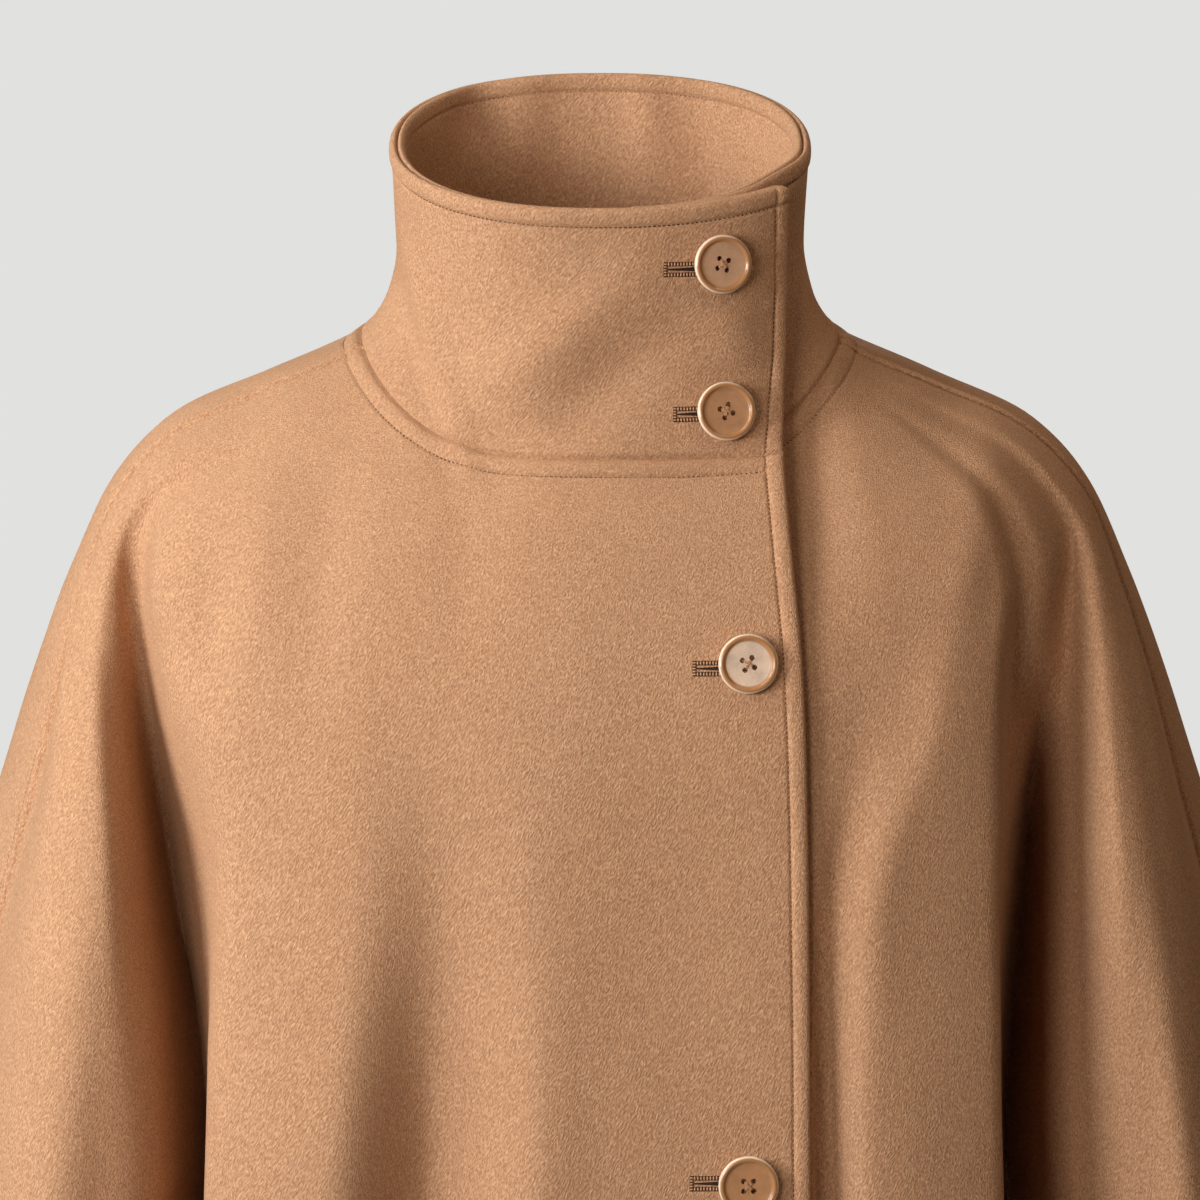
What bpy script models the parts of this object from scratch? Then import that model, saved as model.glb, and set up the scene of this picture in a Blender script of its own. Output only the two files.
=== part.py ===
"""A wool cape with a tall funnel collar and an off-centre front closed by buttons.

The cape is modelled as it hangs when it is worn, hollow and open at the neck and the hem.  Its front faces
-Y, the wearer's left is at +X and +Z is up.  The origin lies midway between the two points where the collar
meets the shoulders, which is where the wearer carries the cape.

The cloth is one smooth surface, worked out from two tables.  RINGS holds the bare form, from the collar's
rim down to the hem.  FOLDS holds the drape, one row for each line that runs down the cloth.  The cloth is
wound once round the body and overlaps itself at the front.  A place on it has a turn, in degrees from
centre front by the wearer's right side, the back and the wearer's left side, and a level, which counts the
rings from the rim.  Each piece is a patch of this surface with its own thickness, moved in where it lies
under another.  Sizes are in millimetres and are turned into metres where the meshes are made.
"""
import math

import bmesh
import bpy
import numpy as np
from mathutils import Matrix, Vector

MM = 0.001

WALL = 2.8            # thickness of the felted wool
COLLAR_PLY = 3.2      # each of the collar's two plies, with its interlining
PLY_GAP = 0.3         # between the collar's plies
SEAM_GAP = 0.4        # between pieces that are sewn edge to edge
LAYER_GAP = 0.6       # between the overlapping front and the one under it
EASE = 42.0           # cloth that the under layer takes to come out from behind the overlap

COLLAR_DEPTH = 2 * COLLAR_PLY + PLY_GAP
TUCK_COLLAR = COLLAR_DEPTH + LAYER_GAP
TUCK_BODY = WALL + LAYER_GAP

# The levels of the rings that the fold table refers to
NECK, SHOULDER, CHEST, BUST, WAIST, HEM = 4, 7, 8, 9, 10, 12

# half_width is along X, front and back are depths along Y; z_side, z_front and z_back are heights.
# square is 2 for an ellipse and more for a squarer ring.  bow and flat shape the ring seen from the side: 1
# and 1 make a flat, tilted ring, a larger bow bends it at the sides, and a larger flat keeps its front level.
RING_COLUMNS = ("half_width", "front", "back", "z_side", "z_front", "z_back", "square", "bow", "flat")
RINGS = (
    (102.0, 84, 82, 90, 61, 119, 2.25, 1.0, 1.0),    # rim of the collar
    (100.5, 84, 80, 66, 35, 92, 2.25, 1.1, 1.0),
    (99.5, 86, 78, 41, 7, 65, 2.25, 1.3, 1.1),
    (104.0, 91, 76, 17, -24, 38, 2.3, 1.6, 1.3),     # foot of the collar, where it flares
    (118.0, 100, 76, -4, -56, 13, 2.3, 2.0, 1.5),    # neck seam
    (164.0, 119, 96, -24, -87, -16, 2.3, 2.0, 1.3),
    (211.0, 134, 116, -45, -121, -55, 2.3, 2.0, 1.1),     # tip of the shoulder
    (239.0, 145, 130, -76, -153, -97, 2.3, 2.0, 1.0),
    (260.0, 154, 141, -122, -191, -146, 2.3, 2.0, 1.0),
    (295.0, 168, 160, -228, -272, -245, 2.3, 2.0, 1.0),
    (342.0, 190, 186, -400, -412, -405, 2.25, 2.0, 1.0),
    (380.0, 208, 206, -570, -580, -575, 2.2, 2.0, 1.0),
    (414.0, 224, 224, -738, -745, -748, 2.15, 2.0, 1.0),
)

# Front edges, by their distance to the wearer's left of the middle, at the rim, neck, shoulder, bust and hem
EDGE_LEVELS = (0, NECK, SHOULDER, BUST, HEM)
FLAP_EDGE_X = (84.0, 86.0, 94.0, 97.0, 99.0)
UNDERLAP_END_X = (16.0, 16.0, 14.0, 12.0, 12.0)
FLAP_LIFT = (9.0, 5.0, 2.5, 2.5, 4.0)      # how far the flap's edge stands off the form
LIFT_START_X = 30.0                        # where the flap starts to stand off

# Each row is a line down the cloth.  steps is the number of strips up to the next line.  The turn of the
# line is given at the neck, shoulder, chest, bust, waist and hem, and how far it lies out of the bare form,
# or in where it is negative, at the last five.  straight is 1 where the line moves straight ahead and 0
# where it moves square to the form.
FOLD_LEVELS = (NECK, SHOULDER, CHEST, BUST, WAIST, HEM)
OUT_LEVELS = (0, NECK, SHOULDER, CHEST, BUST, WAIST, HEM)
FOLDS = (
    # name, steps, straight, turns, outs
    ("middle", 3, 1, (0, -4, -4, -3, -2, -2), (0, 0, 0, 0, 0)),
    ("front_swell", 3, 1, (16, 13, 12, 9, 8, 8), (0, 0, 1, 2, 3)),
    ("front_trough", 4, 1, (30, 32, 28, 24, 23.5, 24), (-1, -2, -8, -29, -38)),
    ("front_ridge", 4, 1, (38, 44, 41, 36, 35.5, 35), (0, 1, 4, 9, 14)),
    ("right_fold", 4, 1, (50, 64, 56, 49, 47, 44.5), (1, 4, 2, 1, 1)),
    ("right_wall", 3, 1, (54.5, 68.5, 62.5, 54, 47.8, 45.2), (1, -3, -42, -66, -74)),
    ("right_valley", 3, 1, (59, 73, 67, 58.5, 49.6, 47), (-9, -30, -86, -124, -134)),
    ("right_flank", 3, 1, (63, 76, 70.5, 60.8, 53.4, 50.5), (-2, -4, -18, -22, -28)),
    ("right_top", 2, 1, (68, 77.5, 74, 63.8, 57.5, 54), (0, 8, 18, 7, 6)),
    ("right_side_fold", 3, 1, (73, 79, 77.5, 69, 64, 60), (1, 9, 26, 31, 33)),
    ("side_seam_right", 3, 0, (78, 81, 79, 76, 76, 76), (0, 0, 0, -3, -6)),
    ("back_fold_1", 4, 0, (94, 96, 94, 92, 92, 92), (1, 2, 4, 8, 14)),
    ("back_valley_1", 4, 0, (112, 110, 108, 107, 106, 106), (-2, -7, -12, -24, -36)),
    ("back_fold_2", 4, 0, (128, 124, 123, 122, 121, 120), (1, 3, 6, 10, 16)),
    ("back_valley_2", 4, 0, (144, 142, 142, 141, 140, 139), (-1, -4, -7, -14, -22)),
    ("back_fold_3", 3, 0, (160, 161, 160, 160, 161, 160), (0, 1, 3, 6, 12)),
    ("back_valley_3", 3, 0, (178, 181, 182, 182, 181, 181), (0, -2, -4, -10, -15)),
    ("back_fold_4", 4, 0, (198, 201, 202, 203, 203, 204), (0, 2, 4, 8, 14)),
    ("back_valley_4", 4, 0, (216, 220, 221, 222, 223, 224), (-1, -5, -9, -18, -26)),
    ("back_fold_5", 4, 0, (232, 236, 237, 238, 240, 241), (1, 3, 6, 10, 15)),
    ("back_valley_5", 4, 0, (249, 251, 252, 254, 256, 256), (-2, -6, -10, -20, -32)),
    ("back_fold_6", 3, 0, (266, 265, 266, 268, 269, 270), (1, 2, 4, 7, 13)),
    ("side_seam_left", 3, 0, (279, 278, 279, 281, 282, 282), (0, 0, 0, -3, -6)),
    ("left_side_fold", 3, 1, (282, 281, 282.5, 288, 292.5, 297), (1, 9, 25, 30, 32)),
    ("left_top", 2, 1, (284, 283, 287, 293, 297.5, 302), (0, 5, 18, 6, 4)),
    ("left_flank", 3, 1, (286, 286.5, 292.5, 298, 304.5, 308.5), (-9, -26, -38, -50, -56)),
    ("left_valley", 3, 1, (288.5, 291, 296, 301.8, 309, 312.8), (-5, -22, -94, -126, -136)),
    ("left_crease", 3, 1, (290.5, 294.5, 299.5, 306, 311, 314.5), (-9, -24, -48, -70, -78)),
    ("left_fold", 3, 1, (292.5, 298, 302.5, 307.5, 311.7, 315.2), (1, 3, 2, 1, 1)),
    ("left_ridge", 4, 1, (295, 305, 308.5, 320, 324.5, 326), (1, 5, 6, 8, 11)),
    ("left_recess", 3, 1, (299, 315, 318, 326.5, 330, 333), (-1, -3, -4, -9, -12)),
)

BUTTON_DIAMETER = 28.0
BUTTON_THICKNESS = 4.4
BUTTON_RIM = 2.9           # width of the raised ring
BUTTON_WELL = 1.3          # how deep the face lies inside the ring
BUTTON_HOLE = 2.6
BUTTON_HOLE_PITCH = 4.6    # side of the square of four holes
BUTTON_SEAT = 0.3
BUTTON_SIDES = 28
# x is to the wearer's left of the middle, z is the height, and spin turns the four holes
BUTTONS = (
    ("button_1", 57.5, 34.0, -11.5),
    ("button_2", 59.0, -35.0, 27.0),
    ("button_3", 69.5, -147.0, 15.0),
    ("button_4", 69.0, -384.0, 0.0),
)
BUTTON_FACING = 0.45       # how far a button turns from the cloth's own direction to straight ahead

BODY_LEVELS = (
    4, 4.35, 4.8, 5.3, 5.8, 6.3, 6.7, 7, 7.3, 7.6, 7.9, 8.2, 8.6, 9, 9.6, 10.2, 10.8, 11.4, 12)
COLLAR_LEVELS = (0, 1, 2, 2.9, 3.5, 4)
FLAP_STEPS = 7
UNDERLAP_STEPS = 5

WOOL = (0.58, 0.36, 0.20)
WOOL_INSIDE = (0.50, 0.30, 0.165)
HORN = (0.55, 0.36, 0.20)


def flow(places, values, at):
    """Read a table at any place: a smooth curve through its rows that never passes their highs and lows.

    The slope at a row is the harmonic mean of the slopes on its two sides, or zero at a high or low.
    values has a row for each of places; at may be an array of any shape.
    """
    x, y, at = np.asarray(places, float), np.asarray(values, float), np.asarray(at, float)
    gap = np.diff(x).reshape((-1,) + (1,) * (y.ndim - 1))
    secant = np.diff(y, axis=0) / gap
    before, after = secant[:-1], secant[1:]
    same_way = before * after > 0
    total = np.where(same_way, before + after, 1.0)
    inner = np.where(same_way, 2 * before * after / total, 0.0)
    slope = np.concatenate([secant[:1], inner, secant[-1:]])
    row = np.clip(np.searchsorted(x, at, side="right") - 1, 0, len(x) - 2)
    step = x[row + 1] - x[row]
    part = np.clip((at - x[row]) / step, 0, 1)
    shape = at.shape + (1,) * (y.ndim - 1)
    step, part = step.reshape(shape), part.reshape(shape)
    hold = (1 + 2 * part) * (1 - part) ** 2
    lead = part * (1 - part) ** 2 * step
    trail = part**2 * (part - 1) * step
    return hold * y[row] + (1 - hold) * y[row + 1] + lead * slope[row] + trail * slope[row + 1]


def sweep(values, at):
    """A curve through evenly numbered rows, each row an array over the levels.

    The slope at a row is half the way from the row before to the row after, as in a Catmull-Rom curve, but
    at most three times the nearer step, so that the curve never turns back.  It rounds the folds more than
    flow does.
    """
    step = np.diff(values, axis=0)
    limit = 3 * np.minimum(np.abs(step[:-1]), np.abs(step[1:]))
    middle = (step[:-1] + step[1:]) / 2
    slope = np.concatenate([step[:1], np.clip(middle, -limit, limit), step[-1:]])
    row = np.clip(np.floor(at).astype(int), 0, len(values) - 2)
    part = at - row
    index = np.arange(values.shape[1])
    hold = (1 + 2 * part) * (1 - part) ** 2
    ends = hold * values[row, index] + (1 - hold) * values[row + 1, index]
    return ends + part * (1 - part) ** 2 * slope[row, index] + part**2 * (part - 1) * slope[row + 1, index]


def smoothstep(part):
    """Ease from 0 to 1 with no slope at either end."""
    part = np.clip(part, 0, 1)
    return part * part * (3 - 2 * part)


def ring_at(level):
    """Every size in RINGS at a level, by column name."""
    sizes = flow(range(len(RINGS)), RINGS, level)
    return {name: sizes[..., i] for i, name in enumerate(RING_COLUMNS)}


def turn_of_x(x, level):
    """The turn at which the front of the bare form is x to the wearer's left."""
    ring = ring_at(level)
    depth = ring["front"] * (1 - (x / ring["half_width"]) ** ring["square"]) ** (1 / ring["square"])
    return -np.degrees(np.arctan2(x, depth))


def fold_tables(level):
    """The turn and the out of each line at each level: arrays with a row for each line.

    The flap's edge comes first and the underlap's end last, because the cloth starts and ends there.
    """
    turns = flow(FOLD_LEVELS, np.transpose([row[3] for row in FOLDS]), level).T
    outs = flow(OUT_LEVELS, np.transpose([(0, 0) + row[4] for row in FOLDS]), level).T
    edge_turn = turn_of_x(flow(EDGE_LEVELS, FLAP_EDGE_X, level), level)
    end_turn = turn_of_x(flow(EDGE_LEVELS, UNDERLAP_END_X, level), level)
    flat = 0 * level
    return np.vstack([edge_turn, turns, 360 + edge_turn, 360 + end_turn]), np.vstack([flat, outs, flat, flat])


def place(line, level, nudge=0.0):
    """Points of the cloth, in millimetres: line counts the rows of the fold table, level the rings.

    The bare form is a rounded ring: r is the radius at which |x/width|^n + |y/depth|^n = 1.  The drape
    moves its points level with the ground, square to the form or straight ahead, and nudge moves them along
    the ring.
    """
    line, level = np.broadcast_arrays(np.asarray(line, float), np.asarray(level, float))
    shape = line.shape
    line, level = line.ravel(), level.ravel()
    turns, outs = fold_tables(level)
    turn = sweep(turns, line)
    row = np.clip(np.floor(line).astype(int), 0, len(outs) - 2)
    before, after = np.clip(row - 1, 0, None), np.clip(row + 2, None, len(outs) - 1)
    index = np.arange(len(line))
    low, high = outs[row, index], outs[row + 1, index]
    rise = high - low
    slope_low = harmonic(low - outs[before, index], rise)
    slope_high = harmonic(rise, outs[after, index] - high)
    part = line - row
    hold = (1 + 2 * part) * (1 - part) ** 2
    out = hold * low + (1 - hold) * high
    out = out + part * (1 - part) ** 2 * slope_low + part**2 * (part - 1) * slope_high

    ring = ring_at(level)
    angle = np.radians(turn)
    side, ahead = -np.sin(angle), np.cos(angle)
    is_front = ahead > 0
    depth = np.where(is_front, ring["front"], ring["back"])
    end_height = np.where(is_front, ring["z_front"], ring["z_back"])
    n = ring["square"]
    radius = ((np.abs(side) / ring["half_width"]) ** n + (np.abs(ahead) / depth) ** n) ** (-1 / n)
    angle = angle + nudge / radius
    side, ahead = -np.sin(angle), np.cos(angle)
    x, y = radius * side, -radius * ahead
    share = np.clip(np.abs(y) / depth, 0, 1)
    z = ring["z_side"] + (end_height - ring["z_side"]) * (1 - (1 - share ** ring["bow"]) ** ring["flat"])
    out_x = np.sign(x) * np.abs(x / ring["half_width"]) ** (n - 1) / ring["half_width"]
    out_y = np.sign(y) * np.abs(y / depth) ** (n - 1) / depth
    straight = np.interp(line, range(len(STRAIGHT)), STRAIGHT)
    length = np.hypot(out_x, out_y)
    out_x, out_y = (1 - straight) * out_x / length, (1 - straight) * out_y / length - straight
    points = np.stack([x + out * out_x, y + out * out_y, z], -1)
    return points.reshape(shape + (3,))


def harmonic(first, second):
    """The harmonic mean of two slopes, or zero where they point opposite ways."""
    same_way = first * second > 0
    total = np.where(same_way, first + second, 1.0)
    return np.where(same_way, 2 * first * second / total, 0.0)


def outward(line, level):
    """The cloth's outward direction at each place, from the slopes of the surface."""
    small = 0.02
    line_low, line_high = np.clip(line - small, 0, LAST_LINE), np.clip(line + small, 0, LAST_LINE)
    level_low, level_high = np.clip(level - small, 0, HEM), np.clip(level + small, 0, HEM)
    along = place(line_high, level) - place(line_low, level)
    down = place(line, level_high) - place(line, level_low)
    normal = np.cross(along, down)
    return normal / np.linalg.norm(normal, axis=-1, keepdims=True)


def layer_shift(line, level):
    """How far the cloth stands off the form at the flap, or is tucked in where it lies under the flap."""
    points = place(line, level)
    edge = flow(EDGE_LEVELS, FLAP_EDGE_X, level)
    on_flap = np.clip((points[..., 0] - LIFT_START_X) / (edge - LIFT_START_X), 0, 1) ** 2
    lift = flow(EDGE_LEVELS, FLAP_LIFT, level) * on_flap
    radius = np.hypot(points[..., 0], points[..., 1])
    turn = np.degrees(np.arctan2(-points[..., 0], -points[..., 1]))
    past_edge = radius * np.radians(turn_of_x(edge, level) - turn)
    deep = smoothstep((level - NECK - 0.8) / 2.2)
    tuck = TUCK_COLLAR + (TUCK_BODY - TUCK_COLLAR) * deep
    tuck = tuck * (1 - smoothstep((past_edge - 3) / EASE))
    return np.where(line < MIDDLE_LINE, lift, np.where(line > LEFT_SEAM - 2, -tuck, 0.0))


def flap_seam_level(line):
    """The level of the neck seam: it runs straight on across the flap, below the neck's own curve."""
    seam = place(line, np.full_like(line, NECK))[..., 2]
    below = place(line, np.full_like(line, NECK + 1.0))[..., 2]
    straight = RINGS[NECK][4]
    dip = np.clip((seam - straight) / (seam - below), 0, 0.98)
    return NECK + np.where(line < MIDDLE_LINE, dip, 0.0)


MIDDLE_LINE = 1
LAST_LINE = len(FOLDS) + 2
STRAIGHT = (1,) + tuple(row[2] for row in FOLDS) + (1, 1)
RIGHT_SEAM = 1 + [row[0] for row in FOLDS].index("side_seam_right")
LEFT_SEAM = 1 + [row[0] for row in FOLDS].index("side_seam_left")


def lines_between(first, last, thinning=1):
    """Places along the fold table from one row to another, with each row's own number of strips."""
    steps = [math.ceil(row[1] / thinning) for row in FOLDS]
    steps = [FLAP_STEPS] + steps + [UNDERLAP_STEPS]
    lines = [np.linspace(row, row + 1, steps[row], endpoint=False) for row in range(first, last)]
    return np.append(np.concatenate(lines), last)


def wall_mesh(name, outer, inner):
    """A closed wall between two grids of points: both faces and the strip round their edges."""
    rows, columns = outer.shape[:2]
    points = np.concatenate([outer.reshape(-1, 3), inner.reshape(-1, 3)]) * MM
    number = np.arange(rows * columns).reshape(rows, columns)
    behind = number + rows * columns
    face = np.stack([number[:-1, :-1], number[:-1, 1:], number[1:, 1:], number[1:, :-1]], -1)
    back = face[..., ::-1] + rows * columns
    quads = [face.reshape(-1, 4), back.reshape(-1, 4)]
    top, bottom = number[0], number[-1]
    for edge, twin in ((top[::-1], behind[0][::-1]), (bottom, behind[-1])):
        quads.append(np.stack([edge[:-1], edge[1:], twin[1:], twin[:-1]], -1))
    for edge, twin in ((number[:, 0], behind[:, 0]), (number[::-1, -1], behind[::-1, -1])):
        quads.append(np.stack([edge[:-1], edge[1:], twin[1:], twin[:-1]], -1))
    mesh = bpy.data.meshes.new(name)
    mesh.from_pydata(points.tolist(), [], np.concatenate(quads).tolist())
    build = bmesh.new()
    build.from_mesh(mesh)
    bmesh.ops.recalc_face_normals(build, faces=build.faces)
    bmesh.ops.triangulate(build, faces=build.faces)
    build.to_mesh(mesh)
    build.free()
    mesh.shade_smooth()
    mesh.set_sharp_from_angle(angle=math.radians(50))
    return mesh


def principled(name, colour, roughness):
    """A plain material of one colour."""
    material = bpy.data.materials.new(name)
    material.use_nodes = True
    shader = material.node_tree.nodes["Principled BSDF"]
    shader.inputs["Base Color"].default_value = (*colour, 1)
    shader.inputs["Roughness"].default_value = roughness
    shader.inputs["Metallic"].default_value = 0.0
    material.diffuse_color = (*colour, 1)
    return material


def add_object(name, mesh, material, collection):
    """Put a mesh in the scene as one named part."""
    item = bpy.data.objects.new(name, mesh)
    if material.name not in mesh.materials:
        mesh.materials.append(material)
    collection.objects.link(item)
    return item


def cloth_piece(name, line, level, depth, wall, nudge, material, collection):
    """One piece of cloth: a patch of the surface, moved in by depth, with its own wall."""
    normal = outward(line, level)
    shift = layer_shift(line, level)[..., None]
    face = place(line, level, nudge) + normal * (shift - depth)
    return add_object(name, wall_mesh(name, face, face - normal * wall), material, collection)


def body_piece(name, first, last, material, collection):
    """A front or the back, from the neck seam to the hem, a seam gap short of its neighbours."""
    lines = lines_between(first, last)
    top = flap_seam_level(lines) + SEAM_GAP / 60
    share = (np.array(BODY_LEVELS) - NECK) / (HEM - NECK)
    level = top + share[:, None] * (HEM - top)
    line = np.broadcast_to(lines, level.shape).copy()
    nudge = np.zeros(level.shape)
    if first > 0:
        nudge[:, 0] = SEAM_GAP / 2
    if last < LAST_LINE:
        nudge[:, -1] = -SEAM_GAP / 2
    return cloth_piece(name, line, level, 0.0, WALL, nudge.ravel(), material, collection)


def collar_piece(name, depth, material, collection):
    """One ply of the collar, from the flap's edge right round to the underlap's end."""
    lines = lines_between(0, LAST_LINE, thinning=2)
    bottom = flap_seam_level(lines) - SEAM_GAP / 40
    level = np.array(COLLAR_LEVELS)[:, None] / NECK * bottom
    line = np.broadcast_to(lines, level.shape).copy()
    return cloth_piece(name, line, level, depth, COLLAR_PLY, 0.0, material, collection)


def turned_button(collection):
    """The mesh of one button: a turned disc with a raised ring and four drilled holes."""
    radius, height = BUTTON_DIAMETER / 2 * MM, BUTTON_THICKNESS * MM
    rim, well, soft = BUTTON_RIM * MM, BUTTON_WELL * MM, 0.9 * MM
    outline = (
        (0, height - well),
        (radius - rim, height - well),
        (radius - 0.6 * rim, height),
        (radius - 0.6 * soft, height - 0.6 * soft),
        (radius, height - 1.8 * soft),
        (radius - 0.6 * soft, 0.6 * soft),
        (radius - 3 * soft, 0),
        (0, 0),
    )
    profile = bpy.data.meshes.new("button_profile")
    edges = [(i, i + 1) for i in range(len(outline) - 1)]
    profile.from_pydata([(x, 0, z) for x, z in outline], edges, [])
    disc = bpy.data.objects.new("button_disc", profile)
    collection.objects.link(disc)
    screw = disc.modifiers.new("turn", "SCREW")
    screw.steps = screw.render_steps = BUTTON_SIDES
    screw.use_merge_vertices = True
    screw.merge_threshold = 0.00002
    cutter = hole_cutter(collection)
    drill = disc.modifiers.new("drill", "BOOLEAN")
    drill.operation = "DIFFERENCE"
    drill.solver = "EXACT"
    drill.object = cutter
    bpy.context.view_layer.update()
    mesh = bpy.data.meshes.new_from_object(disc.evaluated_get(bpy.context.evaluated_depsgraph_get()))
    mesh.name = "button"
    bpy.data.objects.remove(disc)
    mesh.shade_smooth()
    mesh.set_sharp_from_angle(angle=math.radians(40))
    return mesh


def hole_cutter(collection):
    """Four rods, at the corners of a square, that drill a button's holes."""
    mesh = bpy.data.meshes.new("button_holes")
    build = bmesh.new()
    half = BUTTON_HOLE_PITCH / 2 * MM
    for x in (-half, half):
        for y in (-half, half):
            radius = BUTTON_HOLE / 2 * MM
            spot = Matrix.Translation((x, y, BUTTON_THICKNESS / 2 * MM))
            bmesh.ops.create_cone(build, cap_ends=True, segments=8, radius1=radius, radius2=radius,
                                  depth=3 * BUTTON_THICKNESS * MM, matrix=spot)
    build.to_mesh(mesh)
    build.free()
    cutter = bpy.data.objects.new("button_holes", mesh)
    collection.objects.link(cutter)
    cutter.hide_render = True
    cutter.display_type = "WIRE"
    return cutter


def button_place(x, z, spin):
    """Where a button lies: its back just clears the highest cloth under it, and it half faces ahead."""
    line, level = np.meshgrid(np.linspace(0, 4, 241), np.linspace(0.1, 11, 437))
    shift = layer_shift(line, level)[..., None]
    normals = outward(line, level)
    cloth = place(line, level) + normals * shift
    nearest = np.argmin((cloth[..., 0] - x) ** 2 + (cloth[..., 2] - z) ** 2)
    centre, normal = cloth.reshape(-1, 3)[nearest], normals.reshape(-1, 3)[nearest]
    axis = normal * (1 - BUTTON_FACING) + np.array((0, -1, 0)) * BUTTON_FACING
    axis = axis / np.linalg.norm(axis)
    offset = cloth - centre
    height = offset @ axis
    aside = np.linalg.norm(offset - height[..., None] * axis, axis=-1)
    under = aside < BUTTON_DIAMETER / 2
    seat = height[under].max() + BUTTON_SEAT
    turn = Vector((0, 0, 1)).rotation_difference(Vector(axis)).to_matrix().to_4x4()
    upright = (turn.inverted() @ Vector((0, 0, 1))).to_2d()
    level_turn = Matrix.Rotation(math.atan2(upright.y, upright.x) - math.pi / 2, 4, "Z")
    spun = Matrix.Rotation(math.radians(spin), 4, "Z")
    return Matrix.Translation(Vector(centre + axis * seat) * MM) @ turn @ level_turn @ spun


def main():
    for item in list(bpy.data.objects):
        bpy.data.objects.remove(item)
    cape = bpy.data.collections.new("wool_cape")
    cutters = bpy.data.collections.new("cutters")
    bpy.context.scene.collection.children.link(cape)
    bpy.context.scene.collection.children.link(cutters)
    wool = {name: principled(name, WOOL, 0.95) for name in ("front_right", "front_left", "back", "collar")}
    inside = principled("collar_inner", WOOL_INSIDE, 0.95)
    horn = principled("button", HORN, 0.35)
    body_piece("front_right", 0, RIGHT_SEAM, wool["front_right"], cape)
    body_piece("back", RIGHT_SEAM, LEFT_SEAM, wool["back"], cape)
    body_piece("front_left", LEFT_SEAM, LAST_LINE, wool["front_left"], cape)
    collar_piece("collar_outer", 0.0, wool["collar"], cape)
    collar_piece("collar_inner", COLLAR_PLY + PLY_GAP, inside, cape)
    button = turned_button(cutters)
    for name, x, z, spin in BUTTONS:
        item = add_object(name, button, horn, cape)
        item.matrix_world = button_place(x, z, spin)


main()
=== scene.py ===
# %% [markdown]
# # A wool cape with a tall funnel collar
#
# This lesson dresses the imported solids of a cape.  The solids hold the cut, the worn pose and the large
# folds.  Here each piece of cloth gets a finer shell on the same form, with rolled edges, seams, topstitching
# and buttonholes, and the felted wool gets its nap.  All sizes are in millimetres until a mesh is made.

# %% Load the frame
import math

import bpy
import numpy as np
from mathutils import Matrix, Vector


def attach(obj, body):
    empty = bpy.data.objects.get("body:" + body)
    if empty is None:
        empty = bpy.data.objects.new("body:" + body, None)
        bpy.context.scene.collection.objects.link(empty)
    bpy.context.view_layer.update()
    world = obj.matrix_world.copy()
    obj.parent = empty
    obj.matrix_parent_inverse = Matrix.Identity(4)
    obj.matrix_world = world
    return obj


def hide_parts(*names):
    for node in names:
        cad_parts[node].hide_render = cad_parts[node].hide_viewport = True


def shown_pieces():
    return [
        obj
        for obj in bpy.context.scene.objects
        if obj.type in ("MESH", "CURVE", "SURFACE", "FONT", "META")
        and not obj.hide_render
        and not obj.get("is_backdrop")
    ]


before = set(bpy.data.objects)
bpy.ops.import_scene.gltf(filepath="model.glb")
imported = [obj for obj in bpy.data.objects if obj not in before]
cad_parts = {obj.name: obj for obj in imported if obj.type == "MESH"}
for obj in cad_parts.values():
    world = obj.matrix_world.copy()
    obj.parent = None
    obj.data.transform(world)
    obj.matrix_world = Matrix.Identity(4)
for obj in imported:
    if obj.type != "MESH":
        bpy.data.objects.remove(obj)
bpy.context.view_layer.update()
print("solids:", sorted(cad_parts))

# %% [markdown]
# ## Two small tools for smooth curves
#
# The cape's form is kept in two short tables, and every point is read from them.  A garment has no corners
# between its measured sections, so a table is read through a smooth curve.  `flow` never passes the highs
# and lows of a table, which keeps a sleeveless form from bulging between its rings.  `sweep` rounds more, and
# suits the places of the folds.

# %% Smooth curves through tables
MM = 0.001


def flow(places, values, at):
    """A curve through the rows of a table that keeps its highs and lows.

    The slope at a row is the harmonic mean of the slopes on its two sides, or zero at a high or a low.
    """
    x, y, at = np.asarray(places, float), np.asarray(values, float), np.asarray(at, float)
    gap = np.diff(x).reshape((-1,) + (1,) * (y.ndim - 1))
    secant = np.diff(y, axis=0) / gap
    slope = np.concatenate([secant[:1], harmonic(secant[:-1], secant[1:]), secant[-1:]])
    row = np.clip(np.searchsorted(x, at, side="right") - 1, 0, len(x) - 2)
    step = x[row + 1] - x[row]
    part = np.clip((at - x[row]) / step, 0, 1)
    shape = at.shape + (1,) * (y.ndim - 1)
    return hermite(y[row], y[row + 1], slope[row] * step.reshape(shape), slope[row + 1] * step.reshape(shape),
                   part.reshape(shape))


def harmonic(first, second):
    """The harmonic mean of two slopes, or zero where they point opposite ways."""
    same_way = first * second > 0
    total = np.where(same_way, first + second, 1.0)
    return np.where(same_way, 2 * first * second / total, 0.0)


def hermite(low, high, slope_low, slope_high, part):
    """A cubic from low to high that leaves and arrives with the given slopes."""
    hold = (1 + 2 * part) * (1 - part) ** 2
    return (hold * low + (1 - hold) * high
            + part * (1 - part) ** 2 * slope_low + part**2 * (part - 1) * slope_high)


def sweep(values, at):
    """A rounder curve through evenly numbered rows, each row an array.

    The slope at a row is half the way from the row before to the row after, and at most three times the
    nearer step, so the curve never turns back.
    """
    step = np.diff(values, axis=0)
    limit = 3 * np.minimum(np.abs(step[:-1]), np.abs(step[1:]))
    slope = np.concatenate([step[:1], np.clip((step[:-1] + step[1:]) / 2, -limit, limit), step[-1:]])
    row = np.clip(np.floor(at).astype(int), 0, len(values) - 2)
    index = np.arange(values.shape[1])
    return hermite(values[row, index], values[row + 1, index], slope[row, index], slope[row + 1, index],
                   at - row)


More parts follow.
